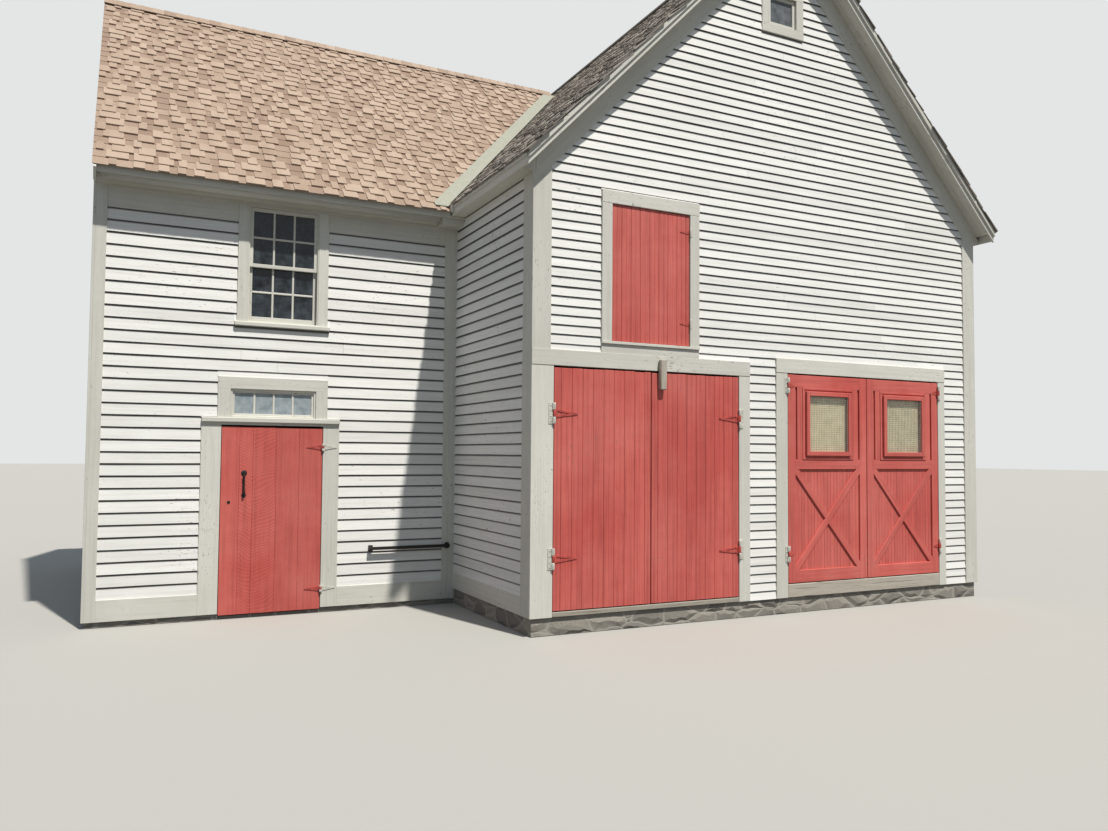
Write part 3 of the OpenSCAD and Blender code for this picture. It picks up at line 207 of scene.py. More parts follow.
def painted_wood(name, coat, faded, grime, bare, flakes, grime_share=0.35, rough=0.62, sawn=False, paint_lap_shade=False):
    """Old oil paint on boards: the grain shows through, it fades in blotches and flakes to bare wood."""
    finish, tree = start_finish(name, IOR=1.5)
    grain, tone, place = board_fields(tree)
    # Fibres are 4 mm apart across the board and run 150 mm along it. Streaks are 30 mm wide and nearly 1 m long.
    # Flakes are 20 to 60 mm long and lie along the grain
    patterns = ((6.5, 250, 250), 4.0, 0.6), ((1.1, 34, 34), 5.0, 0.65), ((16, 70, 70), 6.0, 0.72)
    fibres, streaks, flake_noise = (
        add(tree, "ShaderNodeTexNoise", {"Vector": add(tree, "ShaderNodeMapping", {"Vector": grain, "Scale": scale}),
                                         "Scale": 1.0, "Detail": detail, "Roughness": roughness})
        for scale, detail, roughness in patterns)
    # Weather comes in blotches of about 0.8 m, broken up down to a few centimetres
    weather = add(tree, "ShaderNodeTexNoise", {"Vector": place, "Scale": 1.25, "Detail": 7.0, "Roughness": 0.62})
    fade = add(tree, "ShaderNodeMapRange", {0: weather, 1: 0.36, 2: 0.66, 4: 0.6})
    soil = add(tree, "ShaderNodeMapRange", {0: streaks, 1: 0.46, 2: 0.74, 4: grime_share})
    near = add(tree, "ShaderNodeMath", {0: weather, 1: 0.45}, operation="MULTIPLY")
    both = add(tree, "ShaderNodeMath", {0: flake_noise, 1: near})
    edge = 0.93 - 0.26 * flakes
    gone = add(tree, "ShaderNodeMapRange", {0: both, 1: edge, 2: edge + 0.035})
    coats = [(fade, faded), (soil, grime), (gone, bare)]
    fine = add(tree, "ShaderNodeMapRange", {0: fibres, 1: 0.3, 2: 0.7, 3: 0.95, 4: 1.04})
    board = add(tree, "ShaderNodeMapRange", {0: tone, 3: 0.93, 4: 1.05})
    value = add(tree, "ShaderNodeMath", {0: fine, 1: board}, operation="MULTIPLY")
    depth = add(tree, "ShaderNodeMath", {0: fibres, 1: gone}, operation="SUBTRACT")
    if sawn:
        # The big saw left slanting, slightly curved marks 35 mm apart, which lean another way on each board
        parts = add(tree, "ShaderNodeSeparateXYZ", {0: grain})
        lean = add(tree, "ShaderNodeMapRange", {0: tone, 3: -1.5, 4: 1.5})
        slant = add(tree, "ShaderNodeMath", {0: parts.outputs[1], 1: lean, 2: parts}, operation="MULTIPLY_ADD")
        bend = add(tree, "ShaderNodeTexNoise", {"Vector": grain, "Scale": 3.0, "Detail": 1.0})
        curved = add(tree, "ShaderNodeMath", {0: bend, 1: 0.16, 2: slant}, operation="MULTIPLY_ADD")
        turns = add(tree, "ShaderNodeMath", {0: curved, 1: 2 * math.pi / 0.035}, operation="MULTIPLY")
        marks = add(tree, "ShaderNodeMath", {0: turns}, operation="SINE")
        shade = add(tree, "ShaderNodeMapRange", {0: marks, 1: -1.0, 2: 1.0, 3: 0.9, 4: 1.06})
        value = add(tree, "ShaderNodeMath", {0: value, 1: shade}, operation="MULTIPLY")
        depth = add(tree, "ShaderNodeMath", {0: marks, 1: 0.6, 2: depth}, operation="MULTIPLY_ADD")
    if paint_lap_shade:
        # Painted shade: the underside of each clapboard and the 20 mm below the next one are painted near black, where
        # the shadow under the lap falls
        rise = add(tree, "ShaderNodeAttribute", attribute_name="rise").outputs["Fac"]
        facing = add(tree, "ShaderNodeSeparateXYZ", {0: add(tree, "ShaderNodeNewGeometry").outputs["Normal"]})
        under_shade = add(tree, "ShaderNodeMapRange", {0: facing.outputs[2], 1: -0.4, 2: -0.8, 4: 0.92})
        lap_shade = add(tree, "ShaderNodeMapRange", {0: rise, 1: 0.72, 2: 0.82, 4: 0.92})
        coats.append((add(tree, "ShaderNodeMath", {0: under_shade, 1: lap_shade}, operation="MAXIMUM"), "#33312D"))
    dull = add(tree, "ShaderNodeMapRange", {0: gone, 3: rough, 4: 0.88})
    return end_finish(finish, coat, coats, value, (0.4, 0.0009, depth), dull)


def bare_timber(name, light, dark, moss, contrast=0.5, moss_share=0.2, board_spread=0.25):
    """Unpainted wood that has greyed: fine raised grain, dark checks and some damp patches."""
    finish, tree = start_finish(name, IOR=1.5, Roughness=0.86)
    grain, tone, place = board_fields(tree)
    # Grain lines are 3 mm apart and run about 200 mm, and checks are 10 to 15 mm apart
    patterns = ((5, 320, 320), 5.0, 0.65), ((2.2, 80, 80), 3.0, 0.5)
    fibres, checks = (
        add(tree, "ShaderNodeTexNoise", {"Vector": add(tree, "ShaderNodeMapping", {"Vector": grain, "Scale": scale}),
                                         "Scale": 1.0, "Detail": detail, "Roughness": roughness})
        for scale, detail, roughness in patterns)
    damp = add(tree, "ShaderNodeTexNoise", {"Vector": place, "Scale": 2.1, "Detail": 6.0, "Roughness": 0.6})
    line = add(tree, "ShaderNodeMapRange", {0: fibres, 1: 0.35, 2: 0.68, 4: contrast})
    crack = add(tree, "ShaderNodeMapRange", {0: checks, 1: 0.60, 2: 0.68, 4: 0.7})
    green = add(tree, "ShaderNodeMapRange", {0: damp, 1: 0.5, 2: 0.72, 4: moss_share})
    value = add(tree, "ShaderNodeMapRange", {0: tone, 3: 1.0 - board_spread, 4: 1.0 + board_spread})
    depth = add(tree, "ShaderNodeMath", {0: fibres, 1: crack}, operation="SUBTRACT")
    return end_finish(finish, light, [(line, dark), (crack, dark), (green, moss)], value, (0.6, 0.0015, depth))


def granule_shingles(name, light, warm, dark):
    """Asphalt shingles faced with mineral granules: a dull blend of tans that changes from tab to tab."""
    finish, tree = start_finish(name, IOR=1.45, Roughness=0.93)
    tone = add(tree, "ShaderNodeAttribute", attribute_name="tone").outputs["Fac"]
    place = add(tree, "ShaderNodeTexCoord").outputs["Object"]
    # Granules are 1.5 mm, drawn at 6 mm so that they show
    grit = add(tree, "ShaderNodeTexNoise", {"Vector": place, "Scale": 170.0, "Detail": 3.0, "Roughness": 0.8})
    # Stains that water leaves are 0.25 m wide and run 1.2 m down the slope
    run = add(tree, "ShaderNodeMapping", {"Vector": place, "Scale": (4.0, 0.8, 0.8)})
    stains = add(tree, "ShaderNodeTexNoise", {"Vector": run, "Scale": 1.0, "Detail": 5.0, "Roughness": 0.6})
    tab = add(tree, "ShaderNodeMapRange", {0: tone, 1: 0.25, 2: 0.75})
    deep = add(tree, "ShaderNodeMapRange", {0: tone, 1: 0.7, 4: 0.75})
    wet = add(tree, "ShaderNodeMapRange", {0: stains, 1: 0.45, 2: 0.8, 4: 0.4})
    value = add(tree, "ShaderNodeMapRange", {0: grit, 1: 0.3, 2: 0.7, 3: 0.72, 4: 1.28})
    return end_finish(finish, light, [(tab, warm), (deep, dark), (wet, dark)], value, (0.35, 0.0015, grit))


def field_stone(name, light, dark, mortar):
    """Rough field stones of 150 to 300 mm, laid in lime mortar."""
    finish, tree = start_finish(name, IOR=1.55, Roughness=0.9)
    place = add(tree, "ShaderNodeTexCoord").outputs["Object"]
    wander = add(tree, "ShaderNodeTexNoise", {"Vector": place, "Scale": 3.0})
    strayed = add(tree, "ShaderNodeMix", {0: 0.12, 4: place, 5: wander.outputs[1]}, data_type="VECTOR")
    squashed = add(tree, "ShaderNodeMapping", {"Vector": strayed.outputs[1], "Scale": (3.6, 3.6, 8.5)})
    stones = add(tree, "ShaderNodeTexVoronoi", {"Vector": squashed, "Scale": 1.0})
    joints = add(tree, "ShaderNodeTexVoronoi", {"Vector": squashed, "Scale": 1.0}, feature="DISTANCE_TO_EDGE")
    skin = add(tree, "ShaderNodeTexNoise", {"Vector": place, "Scale": 40.0, "Detail": 7.0, "Roughness": 0.7})
    each = add(tree, "ShaderNodeSeparateColor", {0: stones.outputs["Color"]})
    speck = add(tree, "ShaderNodeMath", {0: each, 1: skin}, operation="MULTIPLY")
    share = add(tree, "ShaderNodeMapRange", {0: speck, 1: 0.1, 2: 0.6})
    joint = add(tree, "ShaderNodeMapRange", {0: joints, 1: 0.02, 2: 0.06, 3: 0.8, 4: 0.0})
    swell = add(tree, "ShaderNodeMapRange", {0: joints, 2: 0.25})
    depth = add(tree, "ShaderNodeMath", {0: skin, 1: 0.25, 2: swell}, operation="MULTIPLY_ADD")
    return end_finish(finish, dark, [(share, light), (joint, mortar)], None, (0.8, 0.02, depth))


def brushed_metal(name, coat, stain, rust, rust_share, rough=0.5, metal=0.0):
    """Iron or sheet metal, painted or blackened, with brush marks, stains and rust where it wears."""
    finish, tree = start_finish(name, Metallic=metal)
    place = add(tree, "ShaderNodeTexCoord").outputs["Object"]
    # Brush marks and casting grain of about 6 mm, stains of 60 mm
    skin = add(tree, "ShaderNodeTexNoise", {"Vector": place, "Scale": 160.0, "Detail": 5.0, "Roughness": 0.65})
    patch = add(tree, "ShaderNodeTexNoise", {"Vector": place, "Scale": 16.0, "Detail": 6.0, "Roughness": 0.7})
    stained = add(tree, "ShaderNodeMapRange", {0: patch, 1: 0.42, 2: 0.62, 4: 0.6})
    rusty = add(tree, "ShaderNodeMapRange", {0: patch, 1: 0.74 - rust_share, 2: 0.80 - rust_share, 4: 0.8})
    dull = add(tree, "ShaderNodeMapRange", {0: rusty, 2: 0.8, 3: rough, 4: 0.9})
    return end_finish(finish, coat, [(stained, stain), (rusty, rust)], None, (0.5, 0.0004, skin), dull)


def old_glass(name, tint, dust_and_sheen, dust_and_sheen_share, mirror, rough=0.06):
    """Drawn window glass that lets nothing through. Its tint is painted: near black for the shade of a dark room behind
    it, pale for a reflection of the sky, yellow for an old pane's own colour. It mirrors the sky, bows a little and
    carries a film of dust; on the pale glass that film is a painted sky sheen.
    """
    finish, tree = start_finish(name, IOR=1.52, Specular_IOR_Level=mirror)
    place = add(tree, "ShaderNodeTexCoord").outputs["Object"]
    # The bow of drawn glass comes every 150 mm, the film of dust and painted sheen in patches of 100 mm
    bow = add(tree, "ShaderNodeTexNoise", {"Vector": place, "Scale": 6.5, "Detail": 1.0})
    film = add(tree, "ShaderNodeTexNoise", {"Vector": place, "Scale": 9.0, "Detail": 6.0, "Roughness": 0.6})
    dust_and_sheen_mask = add(tree, "ShaderNodeMapRange", {0: film, 1: 0.3, 2: 0.75, 4: dust_and_sheen_share})
    dull = add(tree, "ShaderNodeMapRange", {0: dust_and_sheen_mask, 2: 0.5, 3: rough, 4: 0.45})
    return end_finish(finish, tint, [(dust_and_sheen_mask, dust_and_sheen)], None, (0.25, 0.004, bow), dull)


def plain_floor(name, colour, turf):
    """A plain floor that takes the barn's shadow: pale to the eye, but it lights the walls no more than turf does."""
    finish, tree = start_finish(name, Roughness=0.95)
    return end_finish(finish, turf, [(to_the_eye(tree), colour)])


# Pieces


def place(name, mesh, finish, body="building", nodes=(), slot=None):
    """Makes an object of a mesh, with a named finish, on a body, in place of the given nodes."""
    piece = link(name, mesh)
    slot = slot or SLOTS[finish]
    mesh.materials.clear()
    mesh.materials.append(FINISHES[finish])
    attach(piece, body)
    if nodes:
        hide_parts(*nodes)
    return piece


class Wall:
    """The plane of a wall: u runs along it, z up, out away from it."""

    def __init__(self, start, along):
        self.start, self.along = Vector(start), Vector(along)
        self.out = self.along.cross(UP)

    def at(self, u, z, out=0.0):
        return self.start + self.along * u + self.out * out + UP * z


GABLE = Wall((0, FRONT, 0), (1, 0, 0))
BACK_GABLE = Wall((0, BACK, 0), (-1, 0, 0))
LEFT_SIDE = Wall((LEFT, 0, 0), (0, -1, 0))
RIGHT_SIDE = Wall((RIGHT, 0, 0), (0, 1, 0))
WING_FACE = Wall((0, WING_FRONT, 0), (1, 0, 0))
WING_REAR = Wall((0, WING_BACK, 0), (-1, 0, 0))
WING_END = Wall((WING_LEFT, 0, 0), (0, -1, 0))


class Boards:
    """Boards of one piece. Each keeps its own grain and tone as attributes for its finish."""

    def __init__(self, seed):
        self.mesh = bmesh.new()
        self.grain = self.mesh.verts.layers.float_vector.new("grain")
        self.tone = self.mesh.verts.layers.float.new("tone")
        self.random = random.Random(seed)

    def vert(self, point, grain, tone):
        """One point of a skin, with its place in the grain and its board's tone."""
        made = self.mesh.verts.new(point)
        made[self.grain], made[self.tone] = grain, tone
        return made

    def sweep(self, start, along, across, outline, length, ease=0.0015):
        """Carries an outline, given across and out, along a line and eases its ends."""
        along, across = Vector(along).normalized(), Vector(across).normalized()
        out = along.cross(across)
        shift, tone = own_look(self.random)
        corners = [Vector(point) for point in outline]
        middle = sum(corners, Vector((0, 0))) / len(corners)
        rings = []
        for at, shrink in ((0, ease), (ease, 0), (length - ease, 0), (length, ease)):
            drawn = [corner + (middle - corner).normalized() * shrink for corner in corners]
            rings.append([self.vert(Vector(start) + along * at + across * a + out * o, Vector((at, a, o)) + shift, tone)
                          for a, o in drawn])
        self.loft(rings)

    def loft(self, rings, smooth=False):
        """Joins rings of points to one closed skin."""
        count = len(rings[0])
        for first, second in zip(rings, rings[1:]):
            for i in range(count):
                j = (i + 1) % count
                self.mesh.faces.new((first[i], first[j], second[j], second[i])).smooth = smooth
        self.mesh.faces.new(list(reversed(rings[0])))
        self.mesh.faces.new(rings[-1])

    def board(self, start, along, across, length, width, thick, ease=0.002):
        """A board with eased edges from a corner, along, across and out of its face."""
        e = min(ease, width / 3, thick / 3)
        outline = [(e, 0), (width - e, 0), (width, e), (width, thick - e),
                   (width - e, thick), (e, thick), (0, thick - e), (0, e)]
        self.sweep(start, along, across, outline, length, e)

    def cut(self, start, along, across, corners, thick, ease=0.0008):
        """A flat piece with any outline, whose corners are given across and out, either way round."""
        area = sum(p[0] * q[1] - q[0] * p[1] for p, q in zip(corners, corners[1:] + corners[:1]))
        self.sweep(start, along, across, corners if area > 0 else corners[::-1], thick, ease)

    def block(self, low, high, run, ease=0.002):
        """A board between two corners, with its grain along x, y or z."""
        low, high = Vector(low), Vector(high)
        size = high - low
        if run == "x":
            self.board(low, ACROSS, INWARDS, size.x, size.y, size.z, ease)
        elif run == "y":
            self.board(low, INWARDS, UP, size.y, size.z, size.x, ease)
        else:
            self.board(low, UP, ACROSS, size.z, size.x, size.y, ease)

    def on(self, wall, u, z, out, upright=False, ease=0.002):
        """A board on a wall, between two values each of u, z and out."""
        a, b = wall.at(u[0], z[0], out[0]), wall.at(u[1], z[1], out[1])
        low = [min(p, q) for p, q in zip(a, b)]
        high = [max(p, q) for p, q in zip(a, b)]
        self.block(low, high, "z" if upright else ("x" if abs(wall.along.x) > 0.5 else "y"), ease)

    def border(self, wall, u, z, wide, out, ease=0.003):
        """Four boards round an opening. Their widths are those at the left, right, foot and top, or one for all."""
        left, right, foot, top = wide if isinstance(wide, tuple) else (wide,) * 4
        for a, b in ((u[0], u[0] + left), (u[1] - right, u[1])):
            self.on(wall, (a, b), z, out, True, ease)
        for a, b in ((z[0], z[0] + foot), (z[1] - top, z[1])):
            self.on(wall, (u[0] + left, u[1] - right), (a, b), (out[0], out[1] - 0.0006), False, ease)

    def turned(self, base, axis, profile, count=14):
        """A turned piece from (height, radius) pairs along an axis, closed at both ends."""
        axis = Vector(axis).normalized()
        side = axis.cross(UP if abs(axis.z) < 0.9 else INWARDS).normalized()
        third = axis.cross(side)
        shift, tone = own_look(self.random)
        spokes = [(math.cos(turn), math.sin(turn)) for turn in (2 * math.pi * i / count for i in range(count))]
        self.loft([[self.vert(Vector(base) + axis * height + (side * c + third * s) * radius,
                              Vector((height, radius * c, radius * s)) + shift, tone) for c, s in spokes]
                   for height, radius in profile], True)

    def head(self, base, radius, height):
        """A domed bolt or nail head that faces the front."""
        self.turned(base, OUTWARDS, [(-0.002, radius), (height * 0.3, radius),
                                     (height * 0.8, radius * 0.7), (height, radius * 0.25)], 8)

    def knuckle(self, middle, tall, reach, towards, face):
        """A hinge knuckle round its pin, with the tab that runs to its strap or plate."""
        x, y, z = middle
        end, radius = tall / 2, KNUCKLE_R
        self.turned(middle, UP, [(-end, radius * 0.86), (-end * 0.76, radius),
                                 (end * 0.76, radius), (end, radius * 0.86)])
        low, high = sorted(x + towards * at for at in reach)
        self.block((low, y - 0.003, z - end + 0.001), (high, face, z + end - 0.001), "z", 0.001)

    def done(self, name, finish, body="building", nodes=(), slot=None):
        """Turns what was laid into one piece."""
        mesh = bpy.data.meshes.new(name)
        self.mesh.to_mesh(mesh)
        self.mesh.free()
        return place(name, mesh, finish, body, nodes, slot)


def softened(node, name, finish, ease=0.0025, seed=1, only=None, slot=None):
    """A copy of a CAD node or of some of its solids, with eased edges and grain along each solid's longest edge."""
    copy = bmesh.new()
    copy.from_mesh(frame["nodes"][node].data)
    bmesh.ops.remove_doubles(copy, verts=copy.verts, dist=0.00002)
    bmesh.ops.dissolve_limit(copy, angle_limit=math.radians(1), verts=copy.verts, edges=copy.edges)
    grain = copy.verts.layers.float_vector.new("grain")
    tone = copy.verts.layers.float.new("tone")
    chance = random.Random(seed)
    seen = set()
    for first in list(copy.verts):
        if not first.is_valid or first in seen:
            continue
        island, reach = [], [first]
        seen.add(first)
        while reach:
            vert = reach.pop()
            island.append(vert)
            for edge in vert.link_edges:
                other = edge.other_vert(vert)
                if other not in seen:
                    seen.add(other)
                    reach.append(other)
        if only and not only(sum((v.co for v in island), Vector()) / len(island)):
            bmesh.ops.delete(copy, geom=island, context="VERTS")
            continue
        longest = max((e for v in island for e in v.link_edges), key=lambda e: e.calc_length())
        run = (longest.verts[1].co - longest.verts[0].co).normalized()
        side = run.cross(UP if abs(run.z) < 0.9 else INWARDS).normalized()
        third = run.cross(side)
        shift, shade = own_look(chance)
        for vert in island:
            vert[grain] = Vector((vert.co.dot(run), vert.co.dot(side), vert.co.dot(third))) + shift
            vert[tone] = shade
    if ease:
        sharp = [e for e in copy.edges if len(e.link_faces) == 2 and e.calc_face_angle(0) > math.radians(20)]
        bmesh.ops.bevel(copy, geom=sharp, offset=ease, segments=1, affect="EDGES", clamp_overlap=True)
    mesh = bpy.data.meshes.new(name)
    copy.to_mesh(mesh)
    copy.free()
    return place(name, mesh, finish, nodes=(node,), slot=slot)


# Geometry trees


def start_tree(name, **sizes):
    """Starts a tree that takes a mesh, a finish and the named sizes. A size of None is an object."""
    tree = bpy.data.node_groups.new(name, "GeometryNodeTree")
    tree.interface.new_socket("Geometry", in_out="INPUT", socket_type="NodeSocketGeometry")
    tree.interface.new_socket("Geometry", in_out="OUTPUT", socket_type="NodeSocketGeometry")
    tree.interface.new_socket("Finish", in_out="INPUT", socket_type="NodeSocketMaterial")
    for size, value in sizes.items():
        kind = "NodeSocketObject" if value is None else "NodeSocketFloat"
        socket = tree.interface.new_socket(size, in_out="INPUT", socket_type=kind)
        if value is not None:
            socket.default_value = value
    return tree, add(tree, "NodeGroupInput")


def end_tree(tree, given, shape):
    """Makes what a tree has laid real, gives it the finish and hands it out."""
    real = add(tree, "GeometryNodeRealizeInstances", {0: shape})
    add(tree, "NodeGroupOutput", {0: add(tree, "GeometryNodeSetMaterial", {0: real, 2: given.outputs["Finish"]})})
    return tree


def grow(tree, name, guide, finish, body="building", nodes=(), **sizes):
    """Runs a tree on a guide mesh and keeps what it makes as one plain mesh on a body."""
    holder = link(name + "_guide", guide)
    modifier = holder.modifiers.new(tree.name, "NODES")
    modifier.node_group = tree
    given = {"Finish": FINISHES[finish], **sizes}
    for item in tree.interface.items_tree:
        if item.in_out == "INPUT" and item.name in given:
            modifier[item.identifier] = given[item.name]
    graph = bpy.context.evaluated_depsgraph_get()
    mesh = bpy.data.meshes.new_from_object(holder.evaluated_get(graph), preserve_all_data_layers=True, depsgraph=graph)
    holder.modifiers.clear()
    bpy.data.objects.remove(holder)
    mesh.name = name
    return place(name, mesh, finish, body, nodes)


def clapboard_tree():
    """Turns each edge of the guide into one clapboard: a wedge, thick at its lower edge."""
    tree, given = start_tree("Clapboards", Butt=0.019, Height=0.11, Wave=0.0013)
    curves = add(tree, "GeometryNodeMeshToCurve", {0: given.outputs["Geometry"]})
    points = add(tree, "GeometryNodeResampleCurve", {0: curves, "Count": 7})
    spot = add(tree, "GeometryNodeInputPosition")
    wobble = add(tree, "ShaderNodeTexNoise", {"Vector": spot, "Scale": 1.7})
    centred = add(tree, "ShaderNodeVectorMath", {0: wobble.outputs[1], 1: (0.5, 0.5, 0.5)}, operation="SUBTRACT")
    amount = add(tree, "ShaderNodeMath", {0: given.outputs["Wave"], 1: 6.0}, operation="MULTIPLY")
    wave = add(tree, "ShaderNodeVectorMath", {0: centred, "Scale": amount}, operation="SCALE")
    waved = add(tree, "GeometryNodeSetPosition", {0: points, 3: wave})
    # The height of the line stays with the points that are swept from it
    line = add(tree, "ShaderNodeSeparateXYZ", {0: spot})
    noted = add(tree, "GeometryNodeStoreNamedAttribute", {0: waved, 2: "rise", 3: line.outputs[2]}, data_type="FLOAT")
    level = add(tree, "GeometryNodeSetCurveNormal", {0: noted}, mode="Z_UP")
    down = add(tree, "ShaderNodeMath", {0: given.outputs["Height"], 1: -1.0}, operation="MULTIPLY")
    top_back = add(tree, "ShaderNodeCombineXYZ", {1: down})
    top_face = add(tree, "ShaderNodeCombineXYZ", {0: 0.004, 1: down})
    butt_face = add(tree, "ShaderNodeCombineXYZ", {0: given.outputs["Butt"]})
    wedge = add(tree, "GeometryNodeCurvePrimitiveQuadrilateral",
                {7: (0.0, 0.0, 0.0), 8: top_back, 9: top_face, 10: butt_face}, mode="POINTS")
    boards = add(tree, "GeometryNodeCurveToMesh", {0: level, 1: wedge, 3: True})
    # How far up its board a point lies, from 0 at the butt to 1, tells the paint where the next board laps it, and so
    # where the shade under the lap is painted
    here = add(tree, "ShaderNodeSeparateXYZ", {0: spot})
    foot, lid, from_z, tone = (add(tree, "GeometryNodeInputNamedAttribute", {0: name}, data_type="FLOAT")
                               for name in ("foot", "lid", "rise", "tone"))
    gained = add(tree, "ShaderNodeMath", {0: here.outputs[2], 1: from_z}, operation="SUBTRACT")
    rise = add(tree, "ShaderNodeMath", {0: gained, 1: given.outputs["Height"]}, operation="DIVIDE")
    risen = add(tree, "GeometryNodeStoreNamedAttribute", {0: boards, 2: "rise", 3: rise}, data_type="FLOAT")
    # A board under a sill or over a casing is ripped or notched to the height that is free there
    free = add(tree, "ShaderNodeClamp", {0: here.outputs[2], 1: foot, 2: lid})
    there = add(tree, "ShaderNodeCombineXYZ", {0: here, 1: here.outputs[1], 2: free})
    cut = add(tree, "GeometryNodeSetPosition", {0: risen, 2: there})
    flat = add(tree, "GeometryNodeSetShadeSmooth", {0: cut, 2: False})
    run = add(tree, "ShaderNodeMath", {0: here, 1: here.outputs[1]})
    apart = add(tree, "ShaderNodeMath", {0: tone, 1: 37.0}, operation="MULTIPLY")
    grain = add(tree, "ShaderNodeCombineXYZ", {0: run, 1: here.outputs[2], 2: apart})
    kept = add(tree, "GeometryNodeStoreNamedAttribute", {0: flat, 2: "grain", 3: grain}, data_type="FLOAT_VECTOR")
    return end_tree(tree, given, kept)


def scatter_tree():
    """Sets a copy of the template on each point of the guide, by its size and turn, each a little off."""
    tree, given = start_tree("Pieces on points", Template=None, Slip=0.004, Twist=0.01, Rough=0.0015)
    template = add(tree, "GeometryNodeObjectInfo", {0: given.outputs["Template"]})
    size, turn, grain, tone = (
        add(tree, "GeometryNodeInputNamedAttribute", {0: name}, data_type=kind)
        for name, kind in (("size", "FLOAT_VECTOR"), ("turn", "FLOAT_VECTOR"),
                           ("grain", "FLOAT_VECTOR"), ("tone", "FLOAT")))
    index = add(tree, "GeometryNodeInputIndex")
    strayed = []
    for amount, seed in (("Slip", 3), ("Twist", 5)):
        any_way = add(tree, "FunctionNodeRandomValue",
                      {0: (-1.0, -1.0, -1.0), 1: (1.0, 1.0, 1.0), 7: index, 8: seed}, data_type="FLOAT_VECTOR")
        way = add(tree, "ShaderNodeVectorMath", {0: any_way, "Scale": given.outputs[amount]}, operation="SCALE")
        strayed.append(way)
    moved = add(tree, "GeometryNodeSetPosition", {0: given.outputs["Geometry"], 3: strayed[0]})
    pointed = add(tree, "FunctionNodeEulerToRotation", {0: turn})
    small = add(tree, "FunctionNodeEulerToRotation", {0: strayed[1]})
    whole = add(tree, "FunctionNodeRotateRotation", {0: pointed, 1: small}, rotation_space="LOCAL")
    copies = add(tree, "GeometryNodeInstanceOnPoints", {0: moved, 2: template.outputs[4], 5: whole, 6: size})
    # Each copy gets its own lumps once it is real
    real = add(tree, "GeometryNodeRealizeInstances", {0: copies})
    spot = add(tree, "GeometryNodeInputPosition")
    lumps = add(tree, "ShaderNodeTexNoise", {"Vector": spot, "Scale": 19.0, "Detail": 1.0})
    centred = add(tree, "ShaderNodeVectorMath", {0: lumps.outputs[1], 1: (0.5, 0.5, 0.5)}, operation="SUBTRACT")
    lump = add(tree, "ShaderNodeVectorMath", {0: centred, "Scale": given.outputs["Rough"]}, operation="SCALE")
    rough = add(tree, "GeometryNodeSetPosition", {0: real, 3: lump})
    sides = add(tree, "ShaderNodeSeparateXYZ", {0: size})
    long_first = add(tree, "ShaderNodeCombineXYZ", {0: sides.outputs[1], 1: sides, 2: sides.outputs[2]})
    scaled = add(tree, "ShaderNodeVectorMath", {0: grain, 1: long_first}, operation="MULTIPLY")
    apart = add(tree, "ShaderNodeMath", {0: tone, 1: 97.0}, operation="MULTIPLY")
    own = add(tree, "ShaderNodeVectorMath", {0: scaled, 1: apart})
    kept = add(tree, "GeometryNodeStoreNamedAttribute", {0: rough, 2: "grain", 3: own}, data_type="FLOAT_VECTOR")
    return end_tree(tree, given, kept)


class Spots:
    """Points for the scatter tree, each with its turn, size and tone."""

    def __init__(self, seed):
        self.points, self.turns, self.sizes, self.tones = [], [], [], []
        self.random = random.Random(seed)

    def put(self, point, axes, size, tones=(0.0, 1.0)):
        """A spot whose x, y and z axes are given as three vectors, with a tone within a range."""
        self.tones.append(self.random.uniform(*tones))
        self.points.append(point)
        self.turns.append(Matrix(axes).transposed().to_euler("XYZ"))
        self.sizes.append(size)

    def guide(self, name):
        return point_mesh(name, self.points, turn=self.turns, size=self.sizes, tone=self.tones)


def template(name, verts, faces, grain_axes=(0, 1, 2)):
    """A small object for the scatter tree. Its grain is its own place, with the given axis along the grain."""
    return link(name, point_mesh(name, verts, (), faces, grain=[[vert[axis] for axis in grain_axes] for vert in verts]))


# Siding

# A clapboard runs up under the next. Steps and strips lower than these get no board of their own
LAP, STEP, STRIP = 0.012, 0.004, 0.008


def free_runs(left, right, low, high, blocks):
    """Where one course of clapboards is free: (from, to, lowest, highest)."""
    marks = sorted({left, right} | {min(max(m, left), right) for b in blocks for m in b[:2]})
    runs = []
    for a, b in zip(marks, marks[1:]):
        middle = (a + b) / 2
        foot, lid = low, high + LAP
        for u0, u1, z0, z1 in blocks:
            if u0 < middle < u1 and z0 < high and z1 > low:
                if z0 <= low + STEP:
                    foot = max(foot, z1)
                else:
                    lid = min(lid, z0)
        spans = [(foot, lid)]
        for u0, u1, z0, z1 in blocks:
            # Over a block that ends within the course the board goes on
            if u0 < middle < u1 and low + STEP < z0 < high and z1 < high - STRIP:
                if not any(v0 < middle < v1 and w0 < high and w1 > z1 + STRIP for v0, v1, w0, w1 in blocks):
                    spans.append((z1, high + LAP))
        for foot, lid in spans:
            if lid - foot > LAP and foot < high - STEP:
                last = next((run for run in reversed(runs) if run[2] == foot and run[3] == lid), None)
                if last and abs(last[1] - a) < 1e-6:
                    last[1] = b
                else:
                    runs.append([a, b, foot, lid])
    return runs


